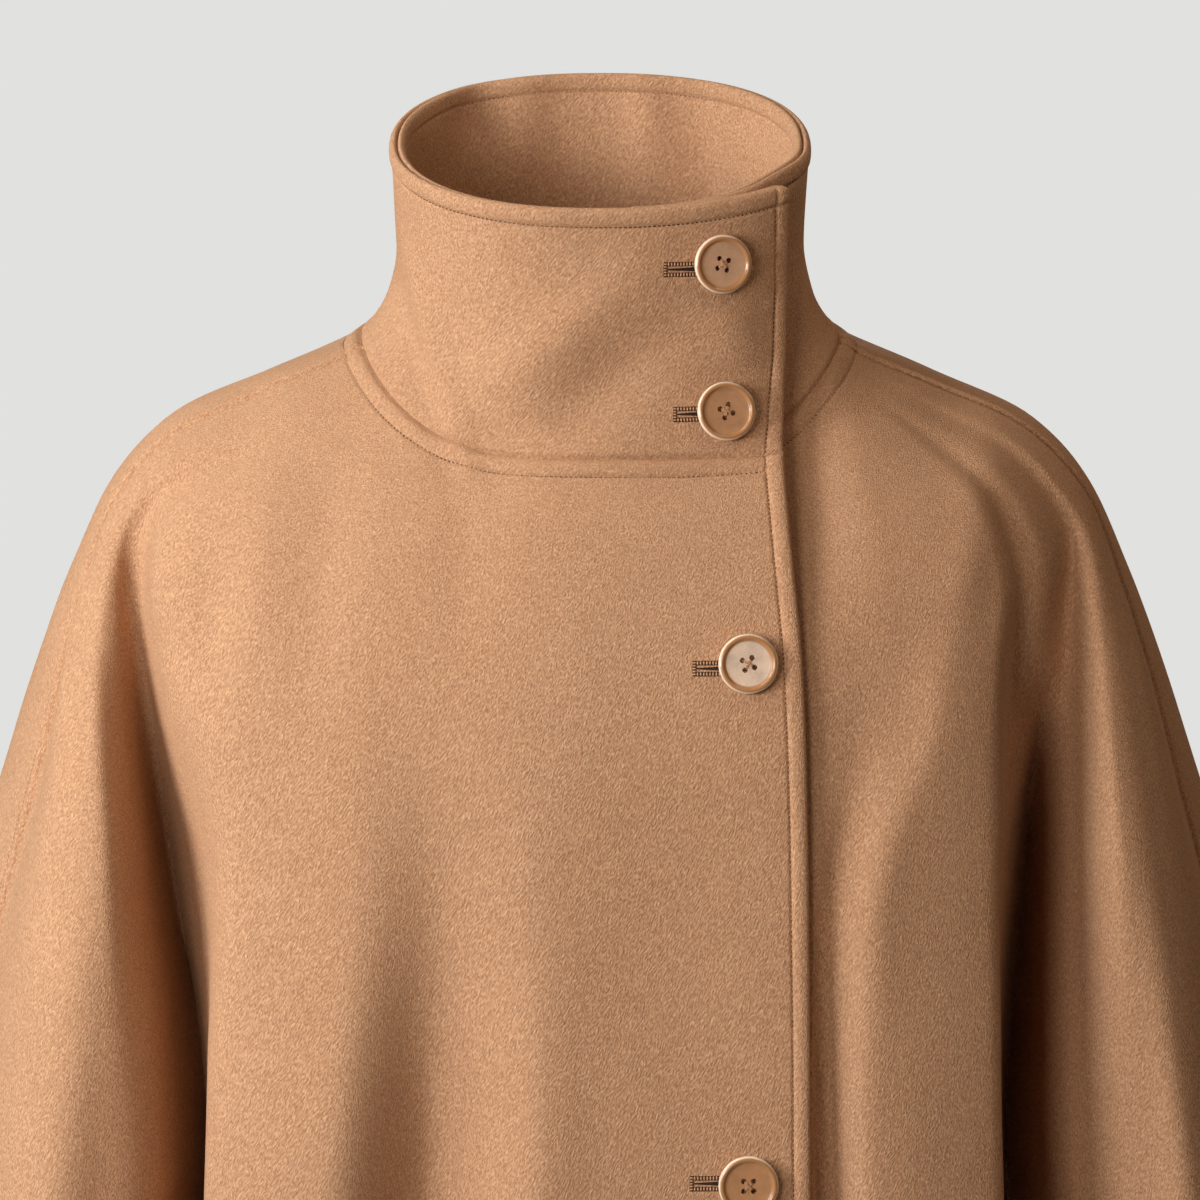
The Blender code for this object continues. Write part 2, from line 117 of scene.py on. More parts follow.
def smoothstep(part):
    """Ease from 0 to 1 with no slope at either end."""
    part = np.clip(part, 0, 1)
    return part * part * (3 - 2 * part)


def dome(distance, width):
    """A soft ridge: one at distance 0, falling like a bell, with its shoulders at width."""
    return np.exp(-((distance / width) ** 2))


# %% [markdown]
# ## The form of the worn cape
#
# `RINGS` are sections through the bare form, from the collar's rim to the hem.  Each is a rounded ring, given
# by its half width, its depths in front and behind and its heights at the side, front and back.  `FOLDS` are
# the lines along which the cloth drapes.  A line has a turn, in degrees from centre front by the wearer's
# right side, the back and the left side, and it lies out of the form or in at four heights.  They are the
# same tables that the solids are built from, so the shells lie on the solids.

# %% Tables of the form and its folds
NECK, SHOULDER, CHEST, BUST, WAIST, HEM = 4, 7, 8, 9, 10, 12

RING_COLUMNS = ("half_width", "front", "back", "z_side", "z_front", "z_back", "square", "bow", "flat")
RINGS = (
    (102.0, 84, 82, 90, 61, 119, 2.25, 1.0, 1.0),    # rim of the collar
    (100.5, 84, 80, 66, 35, 92, 2.25, 1.1, 1.0),
    (99.5, 86, 78, 41, 7, 65, 2.25, 1.3, 1.1),
    (104.0, 91, 76, 17, -24, 38, 2.3, 1.6, 1.3),     # foot of the collar, where it flares
    (118.0, 100, 76, -4, -56, 13, 2.3, 2.0, 1.5),    # neck seam
    (164.0, 119, 96, -24, -87, -16, 2.3, 2.0, 1.3),
    (211.0, 134, 116, -45, -121, -55, 2.3, 2.0, 1.1),     # tip of the shoulder
    (239.0, 145, 130, -76, -153, -97, 2.3, 2.0, 1.0),
    (260.0, 154, 141, -122, -191, -146, 2.3, 2.0, 1.0),
    (295.0, 168, 160, -228, -272, -245, 2.3, 2.0, 1.0),
    (342.0, 190, 186, -400, -412, -405, 2.25, 2.0, 1.0),
    (380.0, 208, 206, -570, -580, -575, 2.2, 2.0, 1.0),
    (414.0, 224, 224, -738, -745, -748, 2.15, 2.0, 1.0),
)

EDGE_LEVELS = (0, NECK, SHOULDER, BUST, HEM)
FLAP_EDGE_X = (84.0, 86.0, 94.0, 97.0, 99.0)
UNDERLAP_END_X = (16.0, 16.0, 14.0, 12.0, 12.0)
FLAP_LIFT = (9.0, 5.0, 2.5, 2.5, 4.0)      # how far the flap's edge stands off the form
LIFT_START_X = 30.0

FOLD_LEVELS = (NECK, SHOULDER, CHEST, BUST, WAIST, HEM)
OUT_LEVELS = (0, NECK, SHOULDER, CHEST, BUST, WAIST, HEM)
FOLDS = (
    # name, straight, turns at the neck, shoulder, chest, bust, waist and hem, outs at the last five
    ("middle", 1, (0, -4, -4, -3, -2, -2), (0, 0, 0, 0, 0)),
    ("front_swell", 1, (16, 13, 12, 9, 8, 8), (0, 0, 1, 2, 3)),
    ("front_trough", 1, (30, 32, 28, 24, 23.5, 24), (-1, -2, -8, -29, -38)),
    ("front_ridge", 1, (38, 44, 41, 36, 35.5, 35), (0, 1, 4, 9, 14)),
    ("right_fold", 1, (50, 64, 56, 49, 47, 44.5), (1, 4, 2, 1, 1)),
    ("right_wall", 1, (54.5, 68.5, 62.5, 54, 47.8, 45.2), (1, -3, -42, -66, -74)),
    ("right_valley", 1, (59, 73, 67, 58.5, 49.6, 47), (-9, -30, -86, -124, -134)),
    ("right_flank", 1, (63, 76, 70.5, 60.8, 53.4, 50.5), (-2, -4, -18, -22, -28)),
    ("right_top", 1, (68, 77.5, 74, 63.8, 57.5, 54), (0, 8, 18, 7, 6)),
    ("right_side_fold", 1, (73, 79, 77.5, 69, 64, 60), (1, 9, 26, 31, 33)),
    ("side_seam_right", 0, (78, 81, 79, 76, 76, 76), (0, 0, 0, -3, -6)),
    ("back_fold_1", 0, (94, 96, 94, 92, 92, 92), (1, 2, 4, 8, 14)),
    ("back_valley_1", 0, (112, 110, 108, 107, 106, 106), (-2, -7, -12, -24, -36)),
    ("back_fold_2", 0, (128, 124, 123, 122, 121, 120), (1, 3, 6, 10, 16)),
    ("back_valley_2", 0, (144, 142, 142, 141, 140, 139), (-1, -4, -7, -14, -22)),
    ("back_fold_3", 0, (160, 161, 160, 160, 161, 160), (0, 1, 3, 6, 12)),
    ("back_valley_3", 0, (178, 181, 182, 182, 181, 181), (0, -2, -4, -10, -15)),
    ("back_fold_4", 0, (198, 201, 202, 203, 203, 204), (0, 2, 4, 8, 14)),
    ("back_valley_4", 0, (216, 220, 221, 222, 223, 224), (-1, -5, -9, -18, -26)),
    ("back_fold_5", 0, (232, 236, 237, 238, 240, 241), (1, 3, 6, 10, 15)),
    ("back_valley_5", 0, (249, 251, 252, 254, 256, 256), (-2, -6, -10, -20, -32)),
    ("back_fold_6", 0, (266, 265, 266, 268, 269, 270), (1, 2, 4, 7, 13)),
    ("side_seam_left", 0, (279, 278, 279, 281, 282, 282), (0, 0, 0, -3, -6)),
    ("left_side_fold", 1, (282, 281, 282.5, 288, 292.5, 297), (1, 9, 25, 30, 32)),
    ("left_top", 1, (284, 283, 287, 293, 297.5, 302), (0, 5, 18, 6, 4)),
    ("left_flank", 1, (286, 286.5, 292.5, 298, 304.5, 308.5), (-9, -26, -38, -50, -56)),
    ("left_valley", 1, (288.5, 291, 296, 301.8, 309, 312.8), (-5, -22, -94, -126, -136)),
    ("left_crease", 1, (290.5, 294.5, 299.5, 306, 311, 314.5), (-9, -24, -48, -70, -78)),
    ("left_fold", 1, (292.5, 298, 302.5, 307.5, 311.7, 315.2), (1, 3, 2, 1, 1)),
    ("left_ridge", 1, (295, 305, 308.5, 320, 324.5, 326), (1, 5, 6, 8, 11)),
    ("left_recess", 1, (299, 315, 318, 326.5, 330, 333), (-1, -3, -4, -9, -12)),
)
MIDDLE_LINE = 1
LAST_LINE = len(FOLDS) + 2
STRAIGHT = (1,) + tuple(row[1] for row in FOLDS) + (1, 1)
RIGHT_SEAM = 1 + [row[0] for row in FOLDS].index("side_seam_right")
LEFT_SEAM = 1 + [row[0] for row in FOLDS].index("side_seam_left")

WALL = 2.8            # the cloth of the body
COLLAR_PLY = 3.2      # each ply of the collar
PLY_GAP = 0.3
LAYER_GAP = 0.6
EASE = 42.0           # past the flap's edge, the cloth under it comes up to the form over this length
TUCK_COLLAR = 2 * COLLAR_PLY + PLY_GAP + LAYER_GAP
TUCK_BODY = WALL + LAYER_GAP

# %% [markdown]
# ## Points on the cloth
#
# A place on the cloth is a pair: the line it lies on, counted along the fold table, and its level, counted
# down the rings.  The cloth is wound once round the body and overlaps itself in front, so the lines run on
# past a full turn.  `place` gives the point, `outward` the direction in which the cloth faces, and
# `layer_shift` how far the flap stands off and how far the front under it is tucked in.

# %% Read the form
def ring_at(level):
    """Every size of the rings at a level, by column name."""
    sizes = flow(range(len(RINGS)), RINGS, level)
    return {name: sizes[..., i] for i, name in enumerate(RING_COLUMNS)}


def turn_of_x(x, level):
    """The turn at which the front of the bare form is x to the wearer's left: x^n + y^n = 1, solved for y."""
    ring = ring_at(level)
    depth = ring["front"] * (1 - (x / ring["half_width"]) ** ring["square"]) ** (1 / ring["square"])
    return -np.degrees(np.arctan2(x, depth))


def fold_tables(level):
    """The turn and the out of every line at each level, from the flap's edge to the underlap's end."""
    turns = flow(FOLD_LEVELS, np.transpose([row[2] for row in FOLDS]), level).T
    outs = flow(OUT_LEVELS, np.transpose([(0, 0) + row[3] for row in FOLDS]), level).T
    edge_turn = turn_of_x(flow(EDGE_LEVELS, FLAP_EDGE_X, level), level)
    end_turn = turn_of_x(flow(EDGE_LEVELS, UNDERLAP_END_X, level), level)
    flat = 0 * level
    return np.vstack([edge_turn, turns, 360 + edge_turn, 360 + end_turn]), np.vstack([flat, outs, flat, flat])


def place(line, level):
    """Points of the cloth in millimetres, as an array with a last axis of three.

    The bare form is a rounded ring: r is the radius at which |x/width|^n + |y/depth|^n = 1.  The drape moves
    its points level with the ground, square to the form or straight ahead.
    """
    line, level = np.broadcast_arrays(np.asarray(line, float), np.asarray(level, float))
    shape = line.shape
    line, level = line.ravel(), level.ravel()
    turns, outs = fold_tables(level)
    turn = sweep(turns, line)
    row = np.clip(np.floor(line).astype(int), 0, len(outs) - 2)
    index = np.arange(len(line))
    low, high = outs[row, index], outs[row + 1, index]
    slope_low = harmonic(low - outs[np.clip(row - 1, 0, None), index], high - low)
    slope_high = harmonic(high - low, outs[np.clip(row + 2, None, len(outs) - 1), index] - high)
    out = hermite(low, high, slope_low, slope_high, line - row)
    ring = ring_at(level)
    angle = np.radians(turn)
    side, ahead = -np.sin(angle), np.cos(angle)
    depth = np.where(ahead > 0, ring["front"], ring["back"])
    end_height = np.where(ahead > 0, ring["z_front"], ring["z_back"])
    n = ring["square"]
    radius = ((np.abs(side) / ring["half_width"]) ** n + (np.abs(ahead) / depth) ** n) ** (-1 / n)
    x, y = radius * side, -radius * ahead
    share = np.clip(np.abs(y) / depth, 0, 1)
    z = ring["z_side"] + (end_height - ring["z_side"]) * (1 - (1 - share ** ring["bow"]) ** ring["flat"])
    out_x = np.sign(x) * np.abs(x / ring["half_width"]) ** (n - 1) / ring["half_width"]
    out_y = np.sign(y) * np.abs(y / depth) ** (n - 1) / depth
    straight = np.interp(line, range(len(STRAIGHT)), STRAIGHT)
    length = np.hypot(out_x, out_y)
    out_x, out_y = (1 - straight) * out_x / length, (1 - straight) * out_y / length - straight
    return np.stack([x + out * out_x, y + out * out_y, z], -1).reshape(shape + (3,))


def unit(vectors):
    """Vectors of length one."""
    return vectors / np.maximum(np.linalg.norm(vectors, axis=-1, keepdims=True), 1e-12)


def outward(line, level):
    """The cloth's outward direction: the cross product of its slopes along the line and down the level."""
    small = 0.02
    ahead, behind = np.clip(line + small, 0, LAST_LINE), np.clip(line - small, 0, LAST_LINE)
    across = place(ahead, level) - place(behind, level)
    down = place(line, np.clip(level + small, 0, HEM)) - place(line, np.clip(level - small, 0, HEM))
    return unit(np.cross(across, down))


def past_flap(points, level):
    """How far round the body points of the left front lie past the flap's edge: below zero under it."""
    radius = np.hypot(points[..., 0], points[..., 1])
    turn = np.degrees(np.arctan2(-points[..., 0], -points[..., 1]))
    return radius * np.radians(turn_of_x(flow(EDGE_LEVELS, FLAP_EDGE_X, level), level) - turn)


def layer_shift(line, level):
    """How far the flap's end stands off the form, or the cloth under it is tucked in."""
    points = place(line, level)
    edge = flow(EDGE_LEVELS, FLAP_EDGE_X, level)
    on_flap = np.clip((points[..., 0] - LIFT_START_X) / (edge - LIFT_START_X), 0, 1) ** 2
    lift = flow(EDGE_LEVELS, FLAP_LIFT, level) * on_flap
    deep = smoothstep((level - NECK - 0.8) / 2.2)
    tuck = TUCK_COLLAR + (TUCK_BODY - TUCK_COLLAR) * deep
    tuck = tuck * (1 - smoothstep((past_flap(points, level) - 3) / EASE))
    return np.where(line < MIDDLE_LINE, lift, np.where(line > LEFT_SEAM - 2, -tuck, 0.0))


def flap_seam_level(line):
    """The level of the neck seam, which runs straight on across the flap, below the neck's own curve."""
    seam = place(line, np.full_like(line, NECK))[..., 2]
    below = place(line, np.full_like(line, NECK + 1.0))[..., 2]
    dip = np.clip((seam - RINGS[NECK][4]) / (seam - below), 0, 0.98)
    return NECK + np.where(line < MIDDLE_LINE, dip, 0.0)


# %% [markdown]
# ## Cutting a patch out of the form
#
# Each piece is a patch between two lines and two levels.  Edges and seams need fine rows, because cloth rolls
# over within a few millimetres there, and the broad middle needs few.  So the strips are spaced by their
# true distance from the patch's edges, worked out for all rows at once.

# %% Grids with fine edges
EDGE_STEPS = np.array((0, 0.12, 0.35, 0.7, 1.2, 1.9, 2.9, 4.2, 5.6, 6.9, 7.7, 8.3, 8.8, 9.3, 9.8, 10.4, 11.2,
                       12.6, 15))


def spaced(length, step):
    """Distances from 0 to length: fine near both ends, evenly spaced by about step between them.

    length may be an array; the middle is stretched to fit it and the ends keep their true distances.
    """
    length = np.asarray(length, float)[..., None]
    reach = EDGE_STEPS[-1]
    count = max(2, int(np.ceil((length.max() - 2 * reach) / step)))
    middle = reach + (length - 2 * reach) * np.arange(1, count) / count
    start = np.broadcast_to(EDGE_STEPS, length.shape[:-1] + EDGE_STEPS.shape)
    return np.concatenate([start, middle, (length - EDGE_STEPS[::-1])], -1)


def along_rows(points):
    """The distance along each row of a grid of points, from its first column."""
    step = np.linalg.norm(np.diff(points, axis=1), axis=-1)
    return np.concatenate([np.zeros((len(points), 1)), np.cumsum(step, axis=1)], 1)


def cut_patch(first, last, top, bottom, step, down_step):
    """A grid of lines and levels over a patch, from the line first to last and the level top to bottom.

    top and bottom are functions of the line.  The columns are spaced by distance on every row at once: the
    rows' distances are set end to end in one long rising list, which is then read backwards.
    """
    fine = np.linspace(first, last, 700)
    middle = np.full(400, (first + last) / 2)
    levels = np.linspace(top(middle[:1])[0], bottom(middle[:1])[0], 400)
    depth = along_rows(place(middle, levels)[None])[0]
    share = np.interp(spaced(depth[-1], down_step), depth, np.linspace(0, 1, 400))
    level = top(fine) + share[:, None] * (bottom(fine) - top(fine))
    run = along_rows(place(np.broadcast_to(fine, level.shape), level))
    shift = np.arange(len(run))[:, None] * (2 * run.max() + 1)
    wanted = spaced(run[:, -1], step)
    line = np.interp((wanted + shift).ravel(), (run + shift).ravel(), np.tile(fine, len(run)))
    line = np.clip(line.reshape(wanted.shape), first, last)
    return line, top(line) + share[:, None] * (bottom(line) - top(line))


# %% [markdown]
# ## Rolled edges, seams and creases
#
# On the real cape an edge is turned, so it is a little plump as far as the topstitching, which presses a
# groove into the cloth.  A seam is a narrow valley where both pieces roll in.  All of this is a relief: a
# height added along the cloth's normal that depends only on the distance from an edge.  The soft dents that
# a hanging cape has between its folds are listed in `CREASES`.

# %% Relief of the cloth
STITCH_INSET = 8.8


def turned_edge(distance, inset=STITCH_INSET, plump=0.9, groove=0.7):
    """A plump strip as far as the stitching, the groove under the thread, and flat cloth past it."""
    strip = np.clip(distance / inset, 0, 1)
    swell = plump * np.sin(np.pi * strip) ** 0.7 * (distance < inset)
    return swell - groove * dome(distance - inset, 0.8)


def sewn_seam(distance, depth=1.5):
    """The valley of a seam: the cloth rolls in over the last few millimetres."""
    return -depth * dome(distance, 1.5) + 0.35 * dome(distance - 4.0, 2.6)


# Soft troughs (negative) and ridges: x and z of the middle, on the front or the back, half length and half
# width in millimetres, lean from upright in degrees (positive leans to the wearer's left), and height.
CREASES = (
    # x, z, side, half_length, half_width, lean, height: first the collar, then the fronts, then behind
    (-92, -4, -1, 56, 7, -18, -3.0),
    (-80, -5, -1, 56, 6, -18, 2.6),
    (-22, -2, -1, 50, 15, 52, 4.2),
    (3, -22, -1, 46, 14, 52, -3.6),
    (64, 0, -1, 24, 12, -20, 3.0),
    (97, 8, -1, 38, 6, 5, 1.3),
    (-66, 84, 1, 34, 13, 10, 7.5),
    (-38, 88, 1, 34, 12, 5, -2.0),
    (24, 90, 1, 40, 13, -4, -3.4),
    (54, 74, 1, 30, 12, -15, 4.0),
    (-163, -108, -1, 55, 13, 7, 1.5),
    (-131, -110, -1, 62, 14, 7, -1.9),
    (-183, -132, -1, 46, 13, 3, -2.8),
    (-222, -108, -1, 25, 7, 10, -3.4),
    (-60, -85, -1, 60, 16, 10, -1.6),
    (-30, -190, -1, 90, 34, 12, 1.2),
    (30, -250, -1, 110, 36, -8, -1.3),
    (-20, -330, -1, 100, 30, 6, 1.4),
    (175, -98, -1, 52, 12, 12, 2.2),
    (238, -110, -1, 42, 8, -10, 1.8),
    (127, -250, -1, 80, 13, 2, 3.0),
    (215, -330, -1, 150, 30, 0, 3.6),
    (-125, -400, -1, 150, 85, 0, 6.0),
    (-60, -520, -1, 120, 32, 8, 1.5),
    (60, -600, -1, 100, 28, -6, -1.4),
    (0, -60, 1, 44, 60, 80, -1.4),
    (-90, -110, 1, 70, 20, 16, -1.8),
    (95, -120, 1, 76, 22, -12, -1.7),
    (20, -240, 1, 110, 34, 5, 1.5),
    (-60, -380, 1, 120, 30, -6, -1.5),
    (110, -420, 1, 110, 28, 8, 1.4),
    (-205, -90, 1, 50, 16, -20, -1.6),
    (205, -95, 1, 52, 16, 18, -1.6),
)


def creases(points):
    """The height of all creases at each point: long bells, turned by their lean, on one side of the cape."""
    x, y, z = points[..., 0], points[..., 1], points[..., 2]
    height = np.zeros(x.shape)
    for mid_x, mid_z, side, half_length, half_width, lean, rise in CREASES:
        lean = math.radians(lean)
        across = (x - mid_x) * math.cos(lean) - (z - mid_z) * math.sin(lean)
        lengthwise = (x - mid_x) * math.sin(lean) + (z - mid_z) * math.cos(lean)
        facing = smoothstep((side * y + 20) / 50)
        height += rise * facing * dome(across, half_width) * dome(lengthwise, half_length)
    return height


def hand(points):
    """The cloth's unevenness: a few slow waves, less than a millimetre high, that never repeat in step."""
    x, y, z = points[..., 0] / 31, points[..., 1] / 27, points[..., 2] / 43
    wave = np.sin(x + 1.3 * np.sin(z + 0.7)) * np.sin(z + 1.1 * np.sin(y * 0.9 + 2.0))
    wave = wave + 0.6 * np.sin(2.3 * x + 1.7 * z + 1.2) * np.sin(1.9 * z - 1.4 * y + 0.4)
    return 0.35 * wave


# Places of the buttons: x to the wearer's left of the middle, height, and the turn of the four holes
BUTTONS = (
    ("button_1", 57.5, 34.0, -11.5),
    ("button_2", 59.0, -35.0, 27.0),
    ("button_3", 69.5, -147.0, 15.0),
    ("button_4", 69.0, -384.0, 0.0),
)


def unevenness(points):
    """Creases and slow waves together, smoothed away under each button, which presses the cloth flat."""
    height = creases(points) + hand(points)
    for _, x, z, _ in BUTTONS:
        near = dome(np.hypot(points[..., 0] - x, points[..., 2] - z), 24.0) * (points[..., 1] < 0)
        height = height * (1 - near) - 0.5 * near
    return height


# %% [markdown]
# ## From a patch to a wall of cloth
#
# A wall has an outer face, an inner face and a rounded rim.  Near an edge both faces close towards the
# middle of the cloth in a half circle, so no corner shows.  One grid is enough for each face, and the wall is
# closed by a strip of faces round the border.  The patch keeps its distances from its four edges, because the
# stitching is laid out with them later.

# %% Cloth walls
class Patch:
    """A piece's grid: its points on the form, its normals and its distances from the four edges."""

    def __init__(self, first, last, top, bottom, step, down_step, depth=0.0):
        self.line, self.level = cut_patch(first, last, top, bottom, step, down_step)
        self.normal = outward(self.line, self.level)
        form = place(self.line, self.level)
        shift = layer_shift(self.line, self.level) - depth
        self.points = form + self.normal * shift[..., None]
        across = along_rows(self.points)
        down = along_rows(self.points.transpose(1, 0, 2)).T
        self.start, self.end = across, across[:, -1:] - across
        self.top, self.bottom = down, down[-1:] - down
        self.right = unit(np.gradient(self.points, axis=1))
        self.down = unit(np.gradient(self.points, axis=0))

    def round_corner(self, side, rim, radius):
        """Turn a square corner into a quarter circle, by moving the points near both of its edges.

        side and rim are the distances from the two edges; the square map u*sqrt(1 - v*v/2) does it.
        """
        u, v = np.clip(1 - side / radius, 0, 1), np.clip(1 - rim / radius, 0, 1)
        move_side = radius * u * (1 - np.sqrt(1 - v * v / 2))
        move_rim = radius * v * (1 - np.sqrt(1 - u * u / 2))
        self.points = self.points + self.right * move_side[..., None] + self.down * move_rim[..., None]

    def faces(self, wall, relief, inner_relief=0.0, roll=None):
        """The outer and inner faces: the relief on the normal, closing in a half circle at the edges."""
        roll = wall * 0.6 if roll is None else roll
        shut = np.ones(self.start.shape)
        for distance in (self.start, self.end, self.top, self.bottom):
            shut = shut * np.sqrt(np.clip(1 - (1 - np.clip(distance / roll, 0, 1)) ** 2, 0, 1))
        slow = unevenness(self.points)
        outer = -wall / 2 + shut * (wall / 2 + relief) + slow
        inner = -wall / 2 - shut * (wall / 2 + inner_relief) + slow
        self.outer = self.points + self.normal * outer[..., None]
        self.inner = self.points + self.normal * inner[..., None]
        return self.outer, self.inner


def quads_of(number):
    """The squares of a grid of point numbers: from a corner along its row, and back along the next row."""
    return np.stack([number[:-1, :-1], number[:-1, 1:], number[1:, 1:], number[1:, :-1]], -1).reshape(-1, 4)


def closed_rows(rows, columns):
    """The numbers of points in rows that close on themselves: the first column comes again at the end."""
    number = np.arange(rows * columns).reshape(rows, columns)
    return np.hstack([number, number[:, :1]])


def wall_mesh(name, outer, inner):
    """One closed mesh: the outer face, and the inner face turned round, which share their border points."""
    rows, columns = outer.shape[:2]
    number = np.arange(rows * columns).reshape(rows, columns)
    behind = number.copy()
    behind[1:-1, 1:-1] = rows * columns + np.arange((rows - 2) * (columns - 2)).reshape(rows - 2, columns - 2)
    points = np.concatenate([outer.reshape(-1, 3), inner[1:-1, 1:-1].reshape(-1, 3)]) * MM
    faces = np.concatenate([quads_of(number), quads_of(behind)[:, ::-1]])
    return add_piece(name, array_mesh(name, points, faces))


def array_mesh(name, points, faces):
    """A smooth mesh from arrays of points and of faces with equal numbers of corners."""
    mesh = bpy.data.meshes.new(name)
    corners = faces.shape[1]
    mesh.vertices.add(len(points))
    mesh.vertices.foreach_set("co", np.ascontiguousarray(points, np.float32).ravel())
    mesh.loops.add(faces.size)
    mesh.loops.foreach_set("vertex_index", faces.astype(np.int32).ravel())
    mesh.polygons.add(len(faces))
    mesh.polygons.foreach_set("loop_start", np.arange(0, faces.size, corners, dtype=np.int32))
    mesh.polygons.foreach_set("loop_total", np.full(len(faces), corners, np.int32))
    mesh.update(calc_edges=True)
    mesh.validate()
    mesh.shade_smooth()
    return mesh


def add_piece(name, mesh):
    """Put a mesh into the scene as a piece that rides with the cape."""
    piece = bpy.data.objects.new(name, mesh)
    bpy.context.scene.collection.objects.link(piece)
    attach(piece, "root")
    return piece


def joined(name, parts, finishes, which=None):
    """One piece from pairs of points and faces; which numbers each part's finish where there are several."""
    starts = np.cumsum([0] + [len(points) for points, _ in parts[:-1]])
    faces = np.concatenate([faces + start for (_, faces), start in zip(parts, starts)])
    mesh = array_mesh(name, np.concatenate([points for points, _ in parts]) * MM, faces)
    for finish in finishes:
        mesh.materials.append(finish)
    if which is not None:
        index = np.concatenate([np.full(len(faces), i, np.int32) for (_, faces), i in zip(parts, which)])
        mesh.polygons.foreach_set("material_index", index)
    piece = add_piece(name, mesh)
    return piece


def cloth_area(grid):
    """The area of a grid of points in square metres: half the cross product of each square's diagonals."""
    one = grid[1:, 1:] - grid[:-1, :-1]
    other = grid[1:, :-1] - grid[:-1, 1:]
    return float(np.linalg.norm(np.cross(one, other), axis=-1).sum() / 2) * MM * MM


# %% [markdown]
# ## Felted wool
#
# Coat wool is woven, then felted and brushed, so no threads show: the surface is a short, matt nap with small
# pebbles about a millimetre wide.  The twill under it still shows as fine slanting ribs.  The fibres are dyed
# together but catch light unevenly.  A nap scatters light at grazing angles, which the shader's sheen does,
# and pebbles and ribs are bumps from two noises, both drawn out along the twill.  Colours are mixed from
# noise at four sizes, from single fibres to slow patches.

# %% Wool material
def srgb(red, green, blue):
    """A colour given as 0 to 255 on a screen, turned into the linear values that a shader takes."""
    part = np.array((red, green, blue)) / 255
    linear = np.where(part <= 0.04045, part / 12.92, ((part + 0.055) / 1.055) ** 2.4)
    return (*map(float, linear), 1.0)


def set_inputs(node, values):
    """Set a node's own sockets from a table of names and values."""
    for name, value in values.items():
        node.inputs[name].default_value = value


def noise(tree, coordinates, scale, detail=3.0, stretch=(1, 1, 1), roughness=0.6, lean=0.0):
    """A noise on the cloth, drawn out along an axis where stretch is below one and tipped by lean."""
    mapping = tree.nodes.new("ShaderNodeMapping")
    mapping.vector_type = "TEXTURE"
    set_inputs(mapping, {"Rotation": (0, lean, 0), "Scale": tuple(1 / part for part in stretch)})
    tree.links.new(coordinates, mapping.inputs["Vector"])
    texture = tree.nodes.new("ShaderNodeTexNoise")
    set_inputs(texture, {"Scale": scale, "Detail": detail, "Roughness": roughness})
    tree.links.new(mapping.outputs["Vector"], texture.inputs["Vector"])
    return texture.outputs["Fac"]


def ramp(tree, value, stops):
    """Colours along a value: stops are pairs of a place and a colour."""
    node = tree.nodes.new("ShaderNodeValToRGB")
    first, last = node.color_ramp.elements[0], node.color_ramp.elements[-1]
    first.position, first.color = stops[0]
    last.position, last.color = stops[-1]
    for position, colour in stops[1:-1]:
        node.color_ramp.elements.new(position).color = colour
    tree.links.new(value, node.inputs["Fac"])
    return node.outputs["Color"]


def blend(tree, mode, share, one, other):
    """Two colours blended, as layers of paint are."""
    node = tree.nodes.new("ShaderNodeMix")
    node.data_type = "RGBA"
    node.blend_type = mode
    node.inputs["Factor"].default_value = share
    tree.links.new(one, node.inputs["A"])
    tree.links.new(other, node.inputs["B"])
    return node.outputs["Result"]


def bump(tree, height, strength, distance, below=None):
    """A bump from a height, laid over another bump where there is one."""
    node = tree.nodes.new("ShaderNodeBump")
    set_inputs(node, {"Strength": strength, "Distance": distance})
    tree.links.new(height, node.inputs["Height"])
    if below is not None:
        tree.links.new(below, node.inputs["Normal"])
    return node.outputs["Normal"]


def new_material(name, roughness):
    """A material with its shader and object coordinates, ready for its pattern."""
    material = bpy.data.materials.new(name)
    material.use_nodes = True
    tree = material.node_tree
    shader = tree.nodes["Principled BSDF"]
    shader.inputs["Roughness"].default_value = roughness
    coordinates = tree.nodes.new("ShaderNodeTexCoord").outputs["Object"]
    return material, tree, shader, coordinates


WOOL_DARK, WOOL_MID, WOOL_LIGHT = srgb(169, 121, 88), srgb(199, 155, 120), srgb(222, 183, 150)


